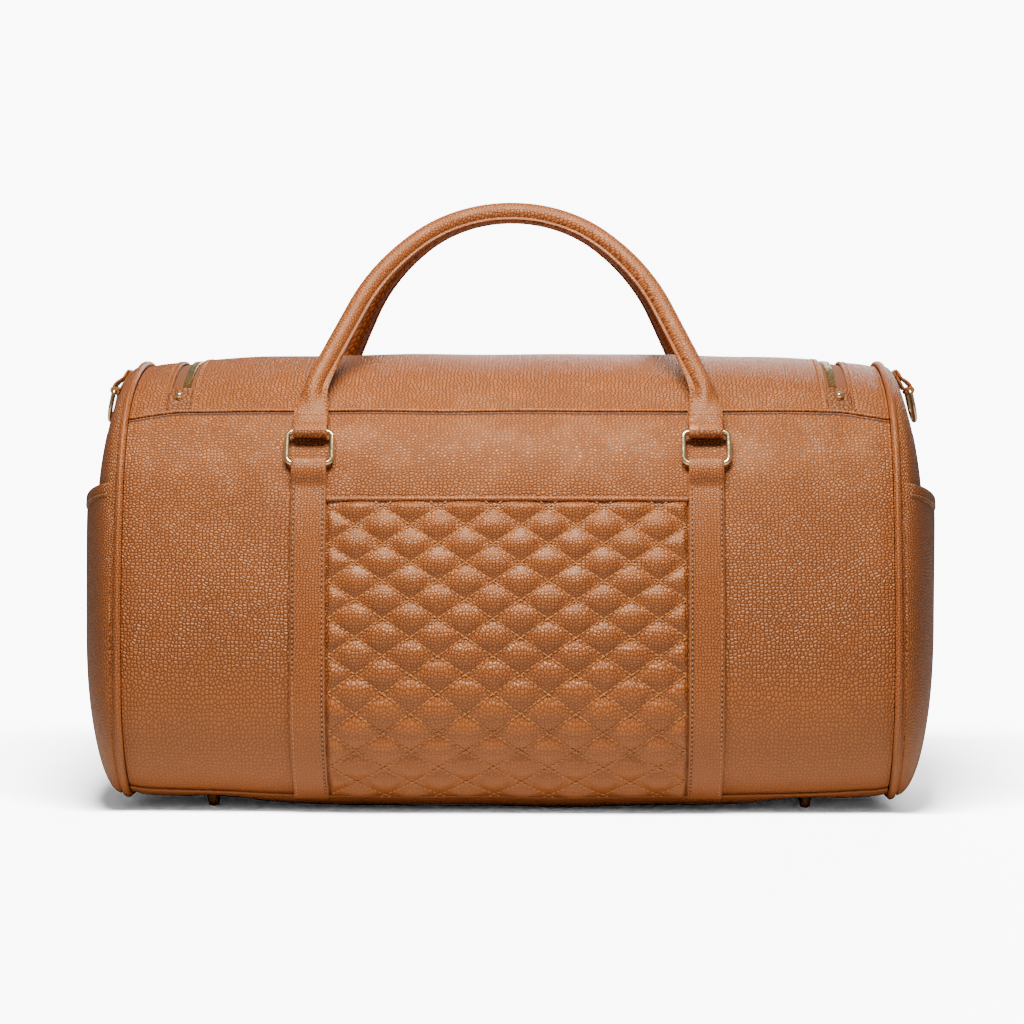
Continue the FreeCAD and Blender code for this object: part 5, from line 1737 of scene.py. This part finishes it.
def build_lining():
    """Loose cloth inside, with soft folds, closed at both ends."""
    inside = S_SEAM - 0.5
    end = box_mm("lining")[1][0] - 0.5
    x = both_ways(steps((0, 4.0), (end - 3, 1.0), (end, 0)))
    s = both_ways(steps((0, 5.0), (inside, 0)))
    x, s = np.meshgrid(x, s)
    fold = 0.6 * np.sin(x / 14 + s / 31) + 0.5 * np.sin(x / 27 - s / 13 + 1) + 0.3 * np.sin(s / 9)
    wall = smooth_step((np.abs(s) - S_LOW) / 30)
    out = -LEATHER_MM - 1.2 - (0.9 + fold) * wall * smooth_step((inside - np.abs(s)) / 12)
    points = skin(x, s, out)
    parts = [shell(points, LINING_MM, -UP)]
    for sign in (-1, 1):
        share = np.linspace(0, 1, 12)[:, None]
        edge = points[:, -1 if sign > 0 else 0]
        centre = np.array([sign * end, 0.0, LINING_MIDDLE])
        flat = edge[None] + (centre - edge[None]) * share[..., None] * 0.98
        ripple = 0.8 * np.sin(flat[..., 1] / 17) * np.sin(flat[..., 2] / 21) * share
        flat[..., 0] = sign * end + sign * ripple
        parts.append(shell(flat, LINING_MM, sign * RIGHT))
    add_piece("lining_cloth", merge(parts), LINING, "lining_cloth", node="lining")


def build_board():
    low, high = box_mm("base_board")
    half = (high - low) / 2
    parts = plate(rounded(half[0], half[1], 16, 7), high[2] - low[2], 0.9, low[2] * UP, RIGHT, BACK, UP)
    add_piece("base_board_covered", parts, LINING, "base_board", node="base_board")


def finish_cad_nodes():
    """New finishes for the CAD pieces that stay."""
    for name, node in frame["nodes"].items():
        if node.hide_render:
            continue
        material = GOLD
        if "core" in name:
            material = ROPE
        if "washer" in name:
            material = STEEL
        for slot in node.material_slots:
            slot.material = material
        node.data.polygons.foreach_set("use_smooth", [True] * len(node.data.polygons))
        node.data.set_sharp_from_angle(angle=math.radians(40))


# ---- stage ----


def area_light(name, place, aim, size, energy, colour=(1, 1, 1)):
    data = bpy.data.lights.new(name, "AREA")
    data.shape = "RECTANGLE"
    data.size, data.size_y = size
    data.energy = energy
    data.color = colour
    lamp = bpy.data.objects.new(name, data)
    bpy.context.scene.collection.objects.link(lamp)
    lamp.location = place
    direction = np.array(aim) - np.array(place)
    lamp.rotation_mode = "QUATERNION"
    lamp.rotation_quaternion = Vector(direction).to_track_quat("-Z", "Y")


KEY_COLOUR = (1.0, 0.9, 0.78)
KEY_WATTS = 17
FILL_WATTS = 20
FLOOR_REACH = 14.0
FLOOR_GREY = (0.75, 0.75, 0.75, 1)
WORLD_GLOW = 0.035
WORLD_SHOWN = 10.0
WORLD_REFLECTED = 0.22


def build_stage():
    mesh = bpy.data.meshes.new("floor")
    corners = [(x * FLOOR_REACH, y * FLOOR_REACH, 0) for x, y in ((-1, -1), (1, -1), (1, 1), (-1, 1))]
    mesh.from_pydata(corners, [], [(0, 1, 2, 3)])
    floor = bpy.data.objects.new("floor", mesh)
    bpy.context.scene.collection.objects.link(floor)
    pale = bpy.data.materials.new("pale_floor")
    pale.use_nodes = True
    shader = pale.node_tree.nodes["Principled BSDF"]
    shader.inputs["Base Color"].default_value = FLOOR_GREY
    shader.inputs["Roughness"].default_value = 0.9
    mesh.materials.append(pale)
    floor.is_shadow_catcher = True
    world = bpy.data.worlds.new("studio")
    bpy.context.scene.world = world
    world.use_nodes = True
    glow = world.node_tree.nodes["Background"]
    glow.inputs["Color"].default_value = (1, 1, 1, 1)
    path = world.node_tree.nodes.new("ShaderNodeLightPath")
    shown = world.node_tree.nodes.new("ShaderNodeMapRange")
    shown.inputs["To Min"].default_value = WORLD_GLOW
    shown.inputs["To Max"].default_value = WORLD_SHOWN
    room = world.node_tree.nodes.new("ShaderNodeMath")
    room.operation = "MULTIPLY_ADD"
    room.inputs[1].default_value = WORLD_REFLECTED
    world.node_tree.links.new(path.outputs["Is Camera Ray"], shown.inputs["Value"])
    world.node_tree.links.new(path.outputs["Is Glossy Ray"], room.inputs[0])
    world.node_tree.links.new(shown.outputs["Result"], room.inputs[2])
    world.node_tree.links.new(room.outputs[0], glow.inputs["Strength"])
    area_light("key_softbox", (-0.03, -0.48, 0.9), (0.0, -0.1, 0.24), (0.5, 0.22), KEY_WATTS, KEY_COLOUR)
    area_light("back_fill", (0.5, 2.2, 1.0), (0.0, 0.0, 0.15), (1.4, 1.0), FILL_WATTS)


CAMERA_PLACE = (0.036, -1.7, 0.25)
CAMERA_LENS = 95.4
CAMERA_DOWN = 2.56
CAMERA_LEFT = 1.2


def build_camera():
    """Level with the top of the bag, a little to the right, through a long lens."""
    data = bpy.data.cameras.new("camera")
    data.sensor_width = 36.0
    data.lens = CAMERA_LENS
    camera = bpy.data.objects.new("camera", data)
    bpy.context.scene.collection.objects.link(camera)
    camera.location = CAMERA_PLACE
    camera.rotation_euler = (math.radians(90 - CAMERA_DOWN), 0.0, math.radians(CAMERA_LEFT))
    bpy.context.scene.camera = camera


build_walls()
build_bottom()
build_seam_lines()
build_surround()
build_lid()
build_zip()
build_stop_tabs()
build_sliders()
build_piping()
build_ends()
build_end_pockets()
build_straps()
build_handles()
build_quilted_pocket()
build_d_loops()
build_feet()
build_lining()
build_board()
finish_cad_nodes()
build_stage()
build_camera()
